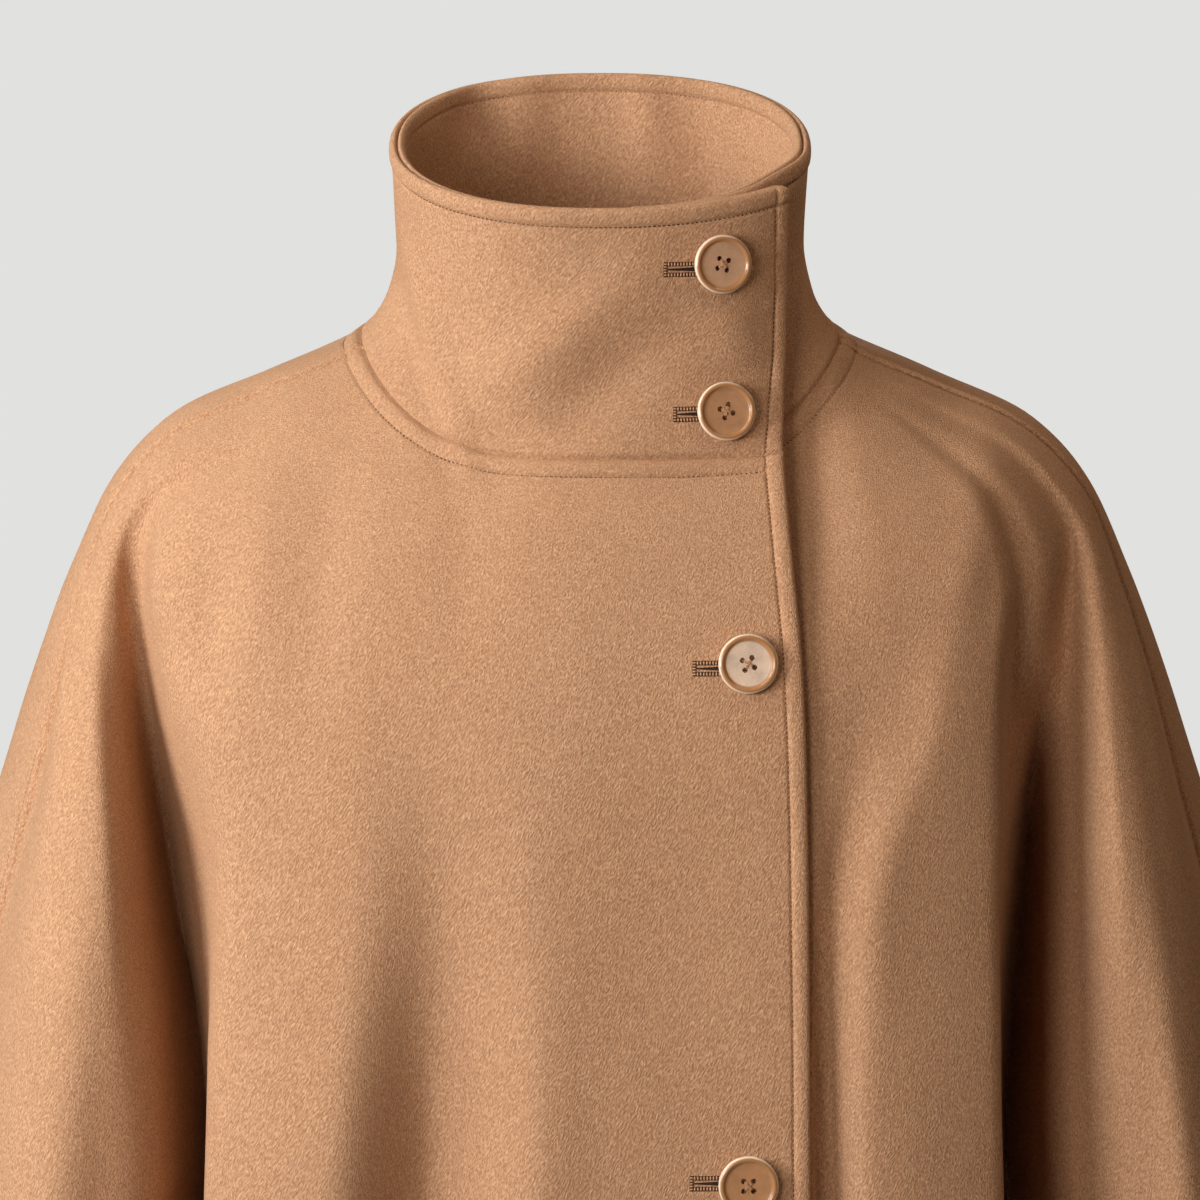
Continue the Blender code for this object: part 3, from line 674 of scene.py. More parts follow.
def wool(name, lean):
    """Brushed, felted wool: speckled fibres, twill at a lean, pebbles, slow patches, a bump and a sheen."""
    material, tree, shader, coordinates = new_material(name, 0.92)
    speckle = noise(tree, coordinates, 1500, 4, (1, 1, 0.45), 0.7)
    fibre = ramp(tree, speckle, ((0.28, WOOL_DARK), (0.5, WOOL_MID), (0.74, WOOL_LIGHT)))
    pebbles = noise(tree, coordinates, 420, 3, (1, 1, 0.7))
    pebble = ramp(tree, pebbles, ((0.3, (0.95, 0.94, 0.93, 1)), (0.7, (1, 1, 1, 1))))
    patches = noise(tree, coordinates, 22, 3, (1, 1, 0.6))
    patch = ramp(tree, patches, ((0.3, (0.94, 0.93, 0.92, 1)), (0.7, (1, 1, 1, 1))))
    twill = noise(tree, coordinates, 1900, 0, (1, 1, 0.26), 0.5, lean)
    rib = ramp(tree, twill, ((0.3, (0.77, 0.73, 0.70, 1)), (0.7, (1.14, 1.14, 1.14, 1))))
    colour = blend(tree, "MULTIPLY", 1.0, blend(tree, "MULTIPLY", 1.0, fibre, pebble), patch)
    tree.links.new(blend(tree, "MULTIPLY", 1.0, colour, rib), shader.inputs["Base Color"])
    nap = bump(tree, noise(tree, coordinates, 560, 4, (1, 1, 0.6), 0.7, lean), 0.14, 0.0008)
    nap = bump(tree, twill, 0.9, 0.0005, nap)
    tree.links.new(nap, shader.inputs["Normal"])
    set_inputs(shader, {"Specular IOR Level": 0.08, "Sheen Weight": 0.16, "Sheen Roughness": 0.55,
                        "Sheen Tint": srgb(240, 205, 165)})
    return material


body_wool = wool("camel_wool", math.radians(28))
collar_wool = wool("camel_wool_collar", math.radians(41))

# %% [markdown]
# ## The fronts and the back
#
# The wearer's right front is the wide one.  It starts at the buttoned edge, which is turned and topstitched,
# and ends at the seam that runs over the shoulder and down the arm.  The back is one plain piece, and its
# side edges carry the seam's topstitching.  The left front runs on under the flap.  The neck edges are
# stitched down below the collar, and the hem is turned like the front edge.

# %% Fronts and back
NECK_INSET = 9.4
SIDE_INSET = 7.0


def level_at(level):
    """An edge that keeps to one level of the form, as a function of the line."""
    return lambda line: np.full_like(line, float(level))


def neck_and_hem(patch):
    """The relief that all three body pieces share: stitched down at the neck and turned at the hem."""
    return (turned_edge(patch.top, NECK_INSET, 0.7) + sewn_seam(patch.top, 1.2)
            + turned_edge(patch.bottom, STITCH_INSET, 0.7))


def side_seam(distance):
    """The relief of a side seam on the back: its valley, and the strip under its topstitching."""
    return sewn_seam(distance) + turned_edge(distance, SIDE_INSET, 0.5, 0.5)


hem = level_at(HEM)
front_right = Patch(0, RIGHT_SEAM, flap_seam_level, hem, step=4.0, down_step=4.4)
front_right.faces(WALL, neck_and_hem(front_right) + turned_edge(front_right.start, plump=1.3)
                  + sewn_seam(front_right.end))
back = Patch(RIGHT_SEAM, LEFT_SEAM, flap_seam_level, hem, step=5.8, down_step=4.8)
back.faces(WALL, neck_and_hem(back) + side_seam(back.start) + side_seam(back.end))
front_left = Patch(LEFT_SEAM, LAST_LINE, flap_seam_level, hem, step=3.8, down_step=4.3)
bare = smoothstep((past_flap(front_left.points, front_left.level) + 8) / 6)
front_left.faces(WALL, (neck_and_hem(front_left) + sewn_seam(front_left.start)) * bare)
print("rows and columns of the body pieces:", [p.line.shape for p in (front_right, back, front_left)])

# %% [markdown]
# ## The funnel collar
#
# The collar is two plies of the same wool, sewn right sides together round the rim and the flap's end and
# then turned.  So the rim is thick and round, with the seam showing as a fine line along its top.  Both plies
# are patches of one form: the inner one lies a ply deeper.  The flap's upper corner is slightly rounded, as
# a turned corner always is.

# %% Collar plies
CORNER_RADIUS = 5.0
RIM_INSET, COLLAR_END_INSET = 9.0, 8.4
INNER_DEPTH = COLLAR_PLY + 0.1      # the inner ply lies just behind the outer one
COLLAR_ROLL = COLLAR_PLY * 0.8

collar_outer, collar_inner = (
    Patch(0, LAST_LINE, level_at(0), flap_seam_level, step=3.2, down_step=3.4, depth=depth)
    for depth in (0.0, INNER_DEPTH))
for ply in (collar_outer, collar_inner):
    ply.round_corner(ply.start, ply.top, CORNER_RADIUS)
outer_relief = (turned_edge(collar_outer.top, RIM_INSET, 1.0) + sewn_seam(collar_outer.bottom, 1.4)
                + turned_edge(collar_outer.start, COLLAR_END_INSET, 0.8))
collar_outer.faces(COLLAR_PLY, outer_relief, roll=COLLAR_ROLL)
collar_inner.faces(COLLAR_PLY, 0.0, turned_edge(collar_inner.top, RIM_INSET, 1.0), roll=COLLAR_ROLL)

# %% Put the cloth into the scene
PIECES = (
    # name, patch, slot, wool
    ("front_right", front_right, "front_right", body_wool),
    ("back", back, "back", body_wool),
    ("front_left", front_left, "front_left", body_wool),
    ("collar_outer", collar_outer, "collar", collar_wool),
    ("collar_inner", collar_inner, "collar_inner", collar_wool),
)
for name, patch, slot, finish in PIECES:
    piece = wall_mesh(name + "_cloth", patch.outer, patch.inner)
    piece.data.materials.append(finish)
    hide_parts(name)
    print(name, "area", round(cloth_area(patch.points), 4), "m2, triangles", 2 * len(piece.data.polygons))

# %% [markdown]
# ## Topstitching
#
# A row of topstitching holds each edge and seam flat.  The thread is a little thicker than sewing thread and
# dyed to match, so it shows by its relief: every stitch is a small arch that dives into the cloth at both
# ends, and the dent where the needle went in is a small dark pit of painted shade.  One arch of thirty
# triangles is worked out once and carried along the line with whole arrays.  The line itself is a contour:
# all points of a patch at one distance from its edge.

# %% Stitches along a contour
STITCH_PITCH = 2.3
STITCH_LENGTH = 2.0
THREAD = 0.62


def contour(patch, distance, inset, skin, down=True):
    """Points and normals where a patch is at a distance from one edge, with the distances to the others."""
    fields = [distance, skin, patch.normal, patch.start, patch.end, patch.top, patch.bottom]
    if not down:
        fields = [np.swapaxes(field, 0, 1) for field in fields]
    distance = fields[0] if fields[0][0].mean() < fields[0][-1].mean() else fields[0][::-1]
    fields = [field if fields[0][0].mean() < fields[0][-1].mean() else field[::-1] for field in fields[1:]]
    row = np.clip((distance < inset).sum(axis=0), 1, len(distance) - 1)
    column = np.arange(distance.shape[1])
    low, high = distance[row - 1, column], distance[row, column]
    part = ((inset - low) / (high - low))[:, None]
    read = []
    for field in fields:
        first, second = field[row - 1, column], field[row, column]
        share = part if first.ndim > 1 else part[:, 0]
        read.append(first + (second - first) * share)
    return read[0], unit(read[1]), np.stack(read[2:], -1)


def along(points, normals, pitch):
    """Evenly spaced points on a line of points, with their normals and directions."""
    run = np.concatenate([[0], np.cumsum(np.linalg.norm(np.diff(points, axis=0), axis=1))])
    count = max(2, int(run[-1] / pitch))
    at = (np.arange(count) + 0.5) * run[-1] / count
    pick = np.stack([np.interp(at, run, points[:, i]) for i in range(3)], -1)
    up = unit(np.stack([np.interp(at, run, normals[:, i]) for i in range(3)], -1))
    ahead = np.gradient(pick, axis=0)
    ahead = unit(ahead - (ahead * up).sum(-1, keepdims=True) * up)
    return pick, up, ahead


ARCH_SIDES, ARCH_RINGS = 5, np.array((-0.8, 0.0, 0.8))


def arches(points, up, ahead, length, width, height, dive):
    """Points and triangles of one arched bead at each place: an ellipsoid bent down by dive at its ends."""
    turn = 2 * np.pi * np.arange(ARCH_SIDES) / ARCH_SIDES + np.pi / 2
    u = np.concatenate([[-1], np.repeat(ARCH_RINGS, ARCH_SIDES), [1]])
    spread = np.sqrt(1 - u * u)
    turn = np.concatenate([[0], np.tile(turn, len(ARCH_RINGS)), [0]])
    local = np.stack([u * length / 2, spread * np.cos(turn) * width / 2,
                      spread * np.sin(turn) * height / 2 - dive * u * u], -1)
    frame_axes = np.stack([ahead, np.cross(up, ahead), up], 1)
    beads = points[:, None] + np.einsum("pk,nkc->npc", local, frame_axes)
    side = np.arange(ARCH_SIDES)
    nxt = (side + 1) % ARCH_SIDES
    faces = [np.stack([np.zeros_like(side), 1 + nxt, 1 + side], -1)]
    for ring in range(len(ARCH_RINGS) - 1):
        a, b = 1 + ring * ARCH_SIDES, 1 + (ring + 1) * ARCH_SIDES
        faces += [np.stack([a + side, a + nxt, b + nxt], -1), np.stack([a + side, b + nxt, b + side], -1)]
    last = 1 + (len(ARCH_RINGS) - 1) * ARCH_SIDES
    faces.append(np.stack([last + side, last + nxt, np.full_like(side, len(local) - 1)], -1))
    faces = np.concatenate(faces)
    step = np.arange(len(points))[:, None, None] * len(local)
    return beads.reshape(-1, 3), (faces + step).reshape(-1, 3)


def dots(points, up, ahead, length, width):
    """Points and triangles of a small six-sided pit at each place, drawn out along the row."""
    turn = np.pi / 3 * np.arange(6)
    ring = np.stack([np.cos(turn) * length / 2, np.sin(turn) * width / 2], -1)
    axes = np.stack([ahead, np.cross(up, ahead)], 1)
    edge = points[:, None] + np.einsum("pk,nkc->npc", ring, axes)
    pits = np.concatenate([(points - up * 0.15)[:, None], edge], 1)
    side = np.arange(6)
    faces = np.stack([np.zeros_like(side), 1 + side, 1 + (side + 1) % 6], -1)
    return pits.reshape(-1, 3), (faces + np.arange(len(points))[:, None, None] * 7).reshape(-1, 3)


# %% [markdown]
# ## Thread and needle pits
#
# The thread is a polyester twist with a slight shine.  The pits are only shade, so they are nearly black
# brown.  Both read their pattern from the piece's own coordinates, fine enough to break up each stitch.

# %% Thread materials
def thread(name, colour, shade):
    """Twisted thread: fine bands along the stitches and a soft shine."""
    material, tree, shader, coordinates = new_material(name, 0.6)
    twist = ramp(tree, noise(tree, coordinates, 2600, 2), ((0.3, shade), (0.7, colour)))
    tree.links.new(twist, shader.inputs["Base Color"])
    tree.links.new(bump(tree, noise(tree, coordinates, 3200, 2), 0.4, 0.0002), shader.inputs["Normal"])
    set_inputs(shader, {"Specular IOR Level": 0.3, "Sheen Weight": 0.1})
    return material


thread_finish = thread("camel_thread", srgb(216, 170, 128), srgb(176, 126, 86))
# painted shade: the near-black brown of the needle dents and of the cloth pressed under buttonhole stitches
painted_shade_finish = thread("needle_pit_painted_shade", srgb(72, 42, 23), srgb(46, 24, 12))


PIT_LENGTH, PIT_WIDTH = 1.5, 1.35


def sew(name, rows):
    """One piece of stitching from several rows of points and normals, each made into stitches and pits of
    painted shade.
    """
    parts = []
    for line, normals in rows:
        pick, up, ahead = along(line, normals, STITCH_PITCH)
        parts.append(arches(pick + up * 0.02, up, ahead, STITCH_LENGTH, THREAD, THREAD * 0.8, 0.3))
        # the dents between stitches are small dark pits of painted shade laid on the cloth
        between = unit(up[:-1] + up[1:])
        gaps = (pick[:-1] + pick[1:]) / 2
        parts.append(dots(gaps + between * 0.12, between, ahead[:-1], PIT_LENGTH, PIT_WIDTH))
    piece = joined(name, parts, (thread_finish, painted_shade_finish), [0, 1] * len(rows))
    print(name, "stitches in", len(rows), "rows, triangles", len(piece.data.polygons))
    return piece


EDGES = ("start", "end", "top", "bottom")


def row_along(patch, skin, edge, inset, clear):
    """A row of stitching at an inset from an edge, kept where it is clear of the other edges by enough.

    clear holds pairs of an edge's name and the least distance to it.
    """
    distance = dict(zip(EDGES, (patch.start, patch.end, patch.top, patch.bottom)))[edge]
    points, normals, others = contour(patch, distance, inset, skin, down=edge in ("top", "bottom"))
    keep = np.ones(len(points), bool)
    for other, least in clear:
        keep &= others[:, EDGES.index(other)] > least
    return points[keep], normals[keep]


# %% Sew every row
FLAP, NECK_ROW, HEM_ROW = ("start", STITCH_INSET), ("top", NECK_INSET), ("bottom", STITCH_INSET)
RIM, COLLAR_END, UNDER_FLAP = ("top", RIM_INSET), ("start", COLLAR_END_INSET), ("end", 60)
ROWS = {
    # each row's edge and inset, and the edges that it keeps clear of
    "front_right": ((FLAP, (NECK_ROW, HEM_ROW)), (NECK_ROW, (FLAP,)), (HEM_ROW, (FLAP,))),
    "back": ((("start", SIDE_INSET), (NECK_ROW,)), (("end", SIDE_INSET), (NECK_ROW,)),
             (NECK_ROW, ()), (HEM_ROW, ())),
    "front_left": ((NECK_ROW, (UNDER_FLAP,)), (HEM_ROW, ())),
    "collar_outer": ((RIM, (COLLAR_END, UNDER_FLAP)), (COLLAR_END, (RIM,))),
    "collar_inner": ((RIM, (COLLAR_END,)),),
}
for name, patch, slot, _ in PIECES:
    skin_points = patch.inner if name == "collar_inner" else patch.outer
    rows = [row_along(patch, skin_points, *edge, clear) for edge, clear in ROWS[name]]
    sew(name + "_stitching", rows)

# %% [markdown]
# ## Buttons
#
# The buttons are turned from resin that imitates horn: a polished, raised rim round a sanded face, with four
# holes.  The profile is carried round a circle with more steps than the solid has, and the holes are drilled
# by a Boolean with an exact solver.  Each one keeps its solid's place: it just clears the highest cloth
# under it and half faces ahead, because the thread behind it lets it tip.

# %% Turn and drill a button
BUTTON_DIAMETER = 28.0
BUTTON_THICKNESS = 4.4
BUTTON_RIM = 2.9
BUTTON_WELL = 1.3
BUTTON_HOLE = 2.6
BUTTON_HOLE_PITCH = 4.6
BUTTON_SEAT = 0.3
BUTTON_FACING = 0.45
BUTTON_STEPS = 96


def button_profile():
    """Radius and height from the middle of the face, over the rim and round to the middle of the back."""
    radius, height, rim = BUTTON_DIAMETER / 2, BUTTON_THICKNESS, BUTTON_RIM
    face, step = height - BUTTON_WELL, radius - rim
    return np.array((
        (0.0, face), (3.0, face), (6.0, face + 0.02), (9.0, face + 0.08), (step - 0.6, face + 0.16),
        (step - 0.1, face + 0.28), (step + 0.25, face + 0.75), (step + 0.65, face + 1.12),
        (step + 1.15, height), (radius - 1.25, height - 0.05), (radius - 0.75, height - 0.3),
        (radius - 0.3, height - 0.8), (radius - 0.05, height - 1.5), (radius, height - 2.1),
        (radius - 0.35, height - 2.9), (radius - 1.3, 0.7), (radius - 3.0, 0.15), (radius - 5.0, 0.0),
        (4.0, 0.0), (0.0, 0.0)))


def turned(profile, steps):
    """A closed mesh from a profile that starts and ends on the axis: rings of points and two poles."""
    turn = 2 * np.pi * np.arange(steps) / steps
    ring = np.stack([np.cos(turn), np.sin(turn)], -1)
    inner = profile[1:-1]
    heights = np.broadcast_to(inner[:, None, 1:], (len(inner), steps, 1))
    body = np.concatenate([inner[:, None, :1] * ring, heights], -1)
    points = np.concatenate([body.reshape(-1, 3), [(0, 0, profile[0, 1]), (0, 0, profile[-1, 1])]])
    number = closed_rows(len(inner), steps)
    top, bottom = len(points) - 2, len(points) - 1
    fans = [(top, int(a), int(b)) for a, b in zip(number[0, :-1], number[0, 1:])]
    fans += [(bottom, int(b), int(a)) for a, b in zip(number[-1, :-1], number[-1, 1:])]
    return points, quads_of(number)[:, [0, 3, 2, 1]].tolist() + fans


def plain_object(name, points, faces):
    """An object for the Boolean, from points and faces of any number of corners."""
    mesh = bpy.data.meshes.new(name)
    mesh.from_pydata(points.tolist(), [], faces)
    item = bpy.data.objects.new(name, mesh)
    bpy.context.scene.collection.objects.link(item)
    return item


def button_mesh():
    """The turned disc with its four holes drilled, in millimetres, lying face up on the ground plane."""
    disc = plain_object("button_disc", *turned(button_profile(), BUTTON_STEPS))
    radius, above, below = BUTTON_HOLE / 2, 9.0, -3.0
    rod_points, rod_faces = turned(np.array(((0, above), (radius, above), (radius, below), (0, below))), 24)
    half = BUTTON_HOLE_PITCH / 2
    places = [np.array((x, y, 0)) for x in (-half, half) for y in (-half, half)]
    drill_faces = [tuple(i + n * len(rod_points) for i in face) for n in range(4) for face in rod_faces]
    drill = plain_object("button_drill", np.concatenate([rod_points + spot for spot in places]), drill_faces)
    cut = disc.modifiers.new("drill", "BOOLEAN")
    cut.operation = "DIFFERENCE"
    cut.object = drill
    bpy.context.view_layer.update()
    mesh = bpy.data.meshes.new_from_object(disc.evaluated_get(bpy.context.evaluated_depsgraph_get()))
    bpy.data.objects.remove(disc)
    bpy.data.objects.remove(drill)
    points = np.empty(len(mesh.vertices) * 3, np.float32)
    mesh.vertices.foreach_get("co", points)
    return mesh, points.reshape(-1, 3).astype(float)


# %% Where a button lies on the cloth
def cloth_grid():
    """Points and normals of the flap on a fine grid of lines and levels, without its soft creases."""
    line, level = np.meshgrid(np.linspace(0, 4, 241), np.linspace(0.1, 11, 437))
    normals = outward(line, level)
    return line, level, place(line, level) + normals * layer_shift(line, level)[..., None], normals


FLAP_LINES, FLAP_LEVELS, FLAP_POINTS, FLAP_NORMALS = cloth_grid()


def button_axes(x, z, spin):
    """The middle of a button's back and its three directions: across, up and out of the face."""
    nearest = np.argmin((FLAP_POINTS[..., 0] - x) ** 2 + (FLAP_POINTS[..., 2] - z) ** 2)
    centre, normal = FLAP_POINTS.reshape(-1, 3)[nearest], FLAP_NORMALS.reshape(-1, 3)[nearest]
    out = unit(normal * (1 - BUTTON_FACING) + np.array((0, -1, 0)) * BUTTON_FACING)
    offset = FLAP_POINTS - centre
    height = offset @ out
    under = np.linalg.norm(offset - height[..., None] * out, axis=-1) < BUTTON_DIAMETER / 2
    seat = height[under].max() + BUTTON_SEAT
    across = unit(np.cross((0, 0, 1), out))
    up = np.cross(out, across)
    c, s = math.cos(math.radians(spin)), math.sin(math.radians(spin))
    return centre + out * seat, np.stack([across * c + up * s, up * c - across * s, out])


# %% [markdown]
# ## Horn-like resin
#
# The rim was polished and mirrors the lamps, the sunken face was only sanded.  The blank is a warm caramel
# under a paler skin, so the turned rim is darker than the face; its outer edge is painted pale again, a
# painted highlight of the lamps on the bevel.  The material mixes the colours and two roughnesses by the
# distance from the button's middle, which the mesh carries as an attribute, so that the pattern follows the
# button however it is turned.  The first face, and more the third, is painted paler: a painted reflection
# of a lamp in its polish.  Cloudy streaks run through each one.

# %% Resin material
# the four faces are one resin; the first and, most of all, the third are painted paler as a painted
# reflection of a lamp
FACE_COLOURS_WITH_PAINTED_REFLECTION = ((200, 156, 122), (186, 136, 96), (228, 200, 176), (188, 136, 92))
RIM_COLOUR, EDGE_HIGHLIGHT_COLOUR = (184, 132, 88), (246, 226, 202)


def shades(red, green, blue):
    """Three stops of one colour: a darker streak, the colour itself and a paler streak."""
    darker, paler = (srgb(*(min(255, part * share) for part in (red, green, blue))) for share in (0.9, 1.05))
    return (0.3, darker), (0.52, srgb(red, green, blue)), (0.75, paler)


def resin(name, face):
    """Streaked resin: pale and matt on the face, caramel and polished on the rim, by the attribute rim."""
    material, tree, shader, coordinates = new_material(name, 0.5)
    streak = noise(tree, coordinates, 130, 5, (1, 0.35, 1))
    cloud = ramp(tree, noise(tree, coordinates, 900, 3), ((0.3, (0.90, 0.89, 0.88, 1)), (0.7, (1, 1, 1, 1))))
    rim = tree.nodes.new("ShaderNodeAttribute")
    rim.attribute_name = "rim"
    share = ramp(tree, rim.outputs["Fac"], ((0.24, (0, 0, 0, 1)), (0.36, (1, 1, 1, 1))))
    # the outer band of the rim turns to a pale colour: a painted highlight of the lamps on the bevel
    edge = ramp(tree, rim.outputs["Fac"], ((0.80, srgb(*RIM_COLOUR)), (0.92, srgb(*EDGE_HIGHLIGHT_COLOUR))))
    colour = tree.nodes.new("ShaderNodeMix")
    colour.data_type = "RGBA"
    tree.links.new(share, colour.inputs["Factor"])
    tree.links.new(ramp(tree, streak, shades(*face)), colour.inputs["A"])
    tree.links.new(edge, colour.inputs["B"])
    tree.links.new(blend(tree, "MULTIPLY", 1.0, colour.outputs["Result"], cloud), shader.inputs["Base Color"])
    rough = ramp(tree, rim.outputs["Fac"], ((0.28, (0.5, 0.5, 0.5, 1)), (0.48, (0.14, 0.14, 0.14, 1))))
    tree.links.new(rough, shader.inputs["Roughness"])
    tree.links.new(bump(tree, noise(tree, coordinates, 1500, 3), 0.1, 0.0002), shader.inputs["Normal"])
    shader.inputs["Specular IOR Level"].default_value = 0.6
    return material


# %% Buttons and their thread
FACE_RADIUS, RIM_RUN = 9.0, 5.0                 # the attribute rim rises from 0 to 1 over the run
THREAD_RADIUS, THREAD_LANES = 0.24, (-0.3, 0.3)
THREAD_DIP, THREAD_RISES = 1.6, (0.3, 0.75)     # down into the holes, and over the face each way
HOLE_INNER_SIDE = 0.45                          # a thread leaves its hole this much nearer the middle
def loop_of_thread(first, last, up, lanes, rise):
    """Rows of points for a bundle of threads from one hole to another, over the face, arched by rise."""
    aside = unit(np.cross(up, last - first))
    part = np.linspace(0, 1, 25)[:, None]
    arch = np.clip(1 - (2 * part - 1) ** 8, 0, 1)
    heights = rise * arch - THREAD_DIP * (1 - arch)
    return [first + (last - first) * part + aside * lane + up * heights for lane in lanes]


def tube(path, radius, sides=8):
    """Points and quads of a thread along a path, closed at both ends by shrinking to a point."""
    ahead = unit(np.gradient(path, axis=0))
    side = unit(np.cross(ahead, np.array((0.31, 0.87, 0.38))))
    up = np.cross(side, ahead)
    thick = radius * np.sqrt(np.clip(1 - np.linspace(-1, 1, len(path)) ** 16, 0, 1))[:, None, None] + 1e-4
    turn = 2 * np.pi * np.arange(sides) / sides
    ring = np.cos(turn)[None, :, None] * side[:, None] + np.sin(turn)[None, :, None] * up[:, None]
    return (path[:, None] + ring * thick).reshape(-1, 3), quads_of(closed_rows(len(path), sides))


for (name, x, z, spin), face_colour in zip(BUTTONS, FACE_COLOURS_WITH_PAINTED_REFLECTION):
    mesh, points = button_mesh()
    seat, axes = button_axes(x, z, spin)
    radius = np.hypot(points[:, 0], points[:, 1])
    mesh.vertices.foreach_set("co", np.ascontiguousarray((seat + points @ axes) * MM, np.float32).ravel())
    mesh.attributes.new("rim", "FLOAT", "POINT").data.foreach_set(
        "value", np.clip((radius - FACE_RADIUS) / RIM_RUN, 0, 1).astype(np.float32))
    mesh.name = name + "_turned"
    mesh.materials.clear()
    mesh.materials.append(resin(name + "_resin", face_colour))
    mesh.shade_smooth()
    mesh.set_sharp_from_angle(angle=math.radians(50))
    piece = add_piece(name + "_turned", mesh)
    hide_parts(name)
    half, face = BUTTON_HOLE_PITCH / 2 - HOLE_INNER_SIDE, BUTTON_THICKNESS - BUTTON_WELL
    threads = []
    for (first, last), rise in zip((((-1, -1), (1, 1)), ((-1, 1), (1, -1))), THREAD_RISES):
        ends = [seat + np.array((a * half, b * half, face)) @ axes for a, b in (first, last)]
        threads += loop_of_thread(*ends, axes[2], THREAD_LANES, rise)
    joined(name + "_thread", [tube(path, THREAD_RADIUS) for path in threads], (thread_finish,))
print("buttons turned:", len(BUTTONS))

# %% [markdown]
# ## Buttonholes
#
# A coat's buttonhole is a slit with a row of purl stitches along each side and a bar of them across its end.
# It gapes towards the button, because the thread pulls there.  Each purl stitch is the same small arch as a
# topstitch, laid across its row, and the cloth between two of them is pressed down and lies in their shade.
# So every row gets a bed of painted shade under its stitches, and the slit is a darker leaf of painted
# shade between the rows.

# %% Buttonholes
HOLE_LEFT_X = (30.0, 34.5, 43.0, 41.5)     # their ends towards the middle of the front
HOLE_DROP = (2.0, 0.8, 2.2, 0.0)           # how far below the button's middle each one lies
PURL_LENGTH, PURL_WIDTH, PURL_PITCH = 1.9, 0.95, 1.45
ROW_OFFSET = 2.5                           # from the slit's middle to the middle of each row


def on_front(x, z):
    """Points and normals of the flap's surface at places seen from straight ahead, by Newton's method."""
    x, z = np.broadcast_arrays(np.asarray(x, float), np.asarray(z, float))
    shape = x.shape
    x, z = x.ravel(), z.ravel()
    grid_x, grid_z = FLAP_POINTS[::4, ::4, 0].ravel(), FLAP_POINTS[::4, ::4, 2].ravel()
    nearest = np.argmin((grid_x - x[:, None]) ** 2 + (grid_z - z[:, None]) ** 2, axis=1)
    line, level = FLAP_LINES[::4, ::4].ravel()[nearest], FLAP_LEVELS[::4, ::4].ravel()[nearest]
    small = 0.01
    for _ in range(4):
        here = skin(line, level)
        by_line = (skin(line + small, level) - here) / small
        by_level = (skin(line, level + small) - here) / small
        miss_x, miss_z = x - here[:, 0], z - here[:, 2]
        det = by_line[:, 0] * by_level[:, 2] - by_line[:, 2] * by_level[:, 0]
        line = np.clip(line + (miss_x * by_level[:, 2] - miss_z * by_level[:, 0]) / det, 0.01, 4)
        level = np.clip(level + (miss_z * by_line[:, 0] - miss_x * by_line[:, 2]) / det, 0.1, 11.5)
    return skin(line, level).reshape(shape + (3,)), outward(line, level).reshape(shape + (3,))


def skin(line, level):
    """The flap's outer face with its soft creases, away from its edges."""
    normals = outward(line, level)
    points = place(line, level) + normals * layer_shift(line, level)[..., None]
    return points + normals * unevenness(points)[..., None]


def purl(x, z, axis):
    """Purl stitches at places seen from straight ahead, each lying along an axis."""
    middle, up = on_front(x, z)
    lying = unit(axis - (up @ axis)[:, None] * up)
    return arches(middle + up * 0.2, up, lying, PURL_LENGTH, PURL_WIDTH, 0.8, 0.3)


def leaf(x, z, lift):
    """Points and quads of a thin sheet laid on the flap, from grids of places seen from straight ahead."""
    points, up = on_front(x, z)
    return (points + up * lift).reshape(-1, 3), quads_of(np.arange(x.size).reshape(x.shape))[:, ::-1]


# painted shade: the dark inside the slit, laid on the flap as a thin leaf
slit_painted_shade_finish = thread("slit_shade", srgb(58, 30, 16), srgb(34, 16, 8))
UPRIGHT, LEVEL = np.array((0.0, 0.0, 1.0)), np.array((1.0, 0.0, 0.0))
UNDER_BUTTON = 6                                       # the rows end this far short of the button's middle
BAR_HEIGHTS = np.array((-2.6, -1.3, 0.0, 1.3, 2.6))    # the stitches across the end
BED_HALF_WIDTH, BAR_BED_LENGTH, BAR_BED_HALF_WIDTH = 1.05, 1.9, 3.4
for number, (name, x, z, _) in enumerate(BUTTONS):
    left, right, height = HOLE_LEFT_X[number], x - UNDER_BUTTON, z - HOLE_DROP[number]
    s = np.arange(left + 2.4, right, PURL_PITCH)
    rows = [purl(s, np.full_like(s, height + side * ROW_OFFSET), UPRIGHT) for side in (-1, 1)]
    bar = purl(np.full(5, left + 0.9), height + BAR_HEIGHTS, LEVEL)
    joined(name + "_buttonhole", rows + [bar], (thread_finish,))
    # the beds are thin dark sheets of painted shade where the pressed cloth lies in the stitches' shade
    s, across = np.meshgrid(np.linspace(left + 0.2, right, 24), (-BED_HALF_WIDTH, 0, BED_HALF_WIDTH))
    beds = [leaf(s, height + side * ROW_OFFSET + across, 0.1) for side in (-1, 1)]
    s, across = np.meshgrid(np.linspace(left, left + BAR_BED_LENGTH, 4),
                            np.linspace(-BAR_BED_HALF_WIDTH, BAR_BED_HALF_WIDTH, 9))
    joined(name + "_bed", beds + [leaf(s, height + across, 0.14)], (painted_shade_finish,))
    s, across = np.meshgrid(np.linspace(left + 1.8, right, 24), np.linspace(-1, 1, 5))
    gape = 0.2 + 1.5 * np.clip((s - left) / (x - left), 0, 1)
    joined(name + "_slit", [leaf(s, height + across * gape, 0.18)], (slit_painted_shade_finish,))
print("buttonholes sewn:", len(BUTTONS))
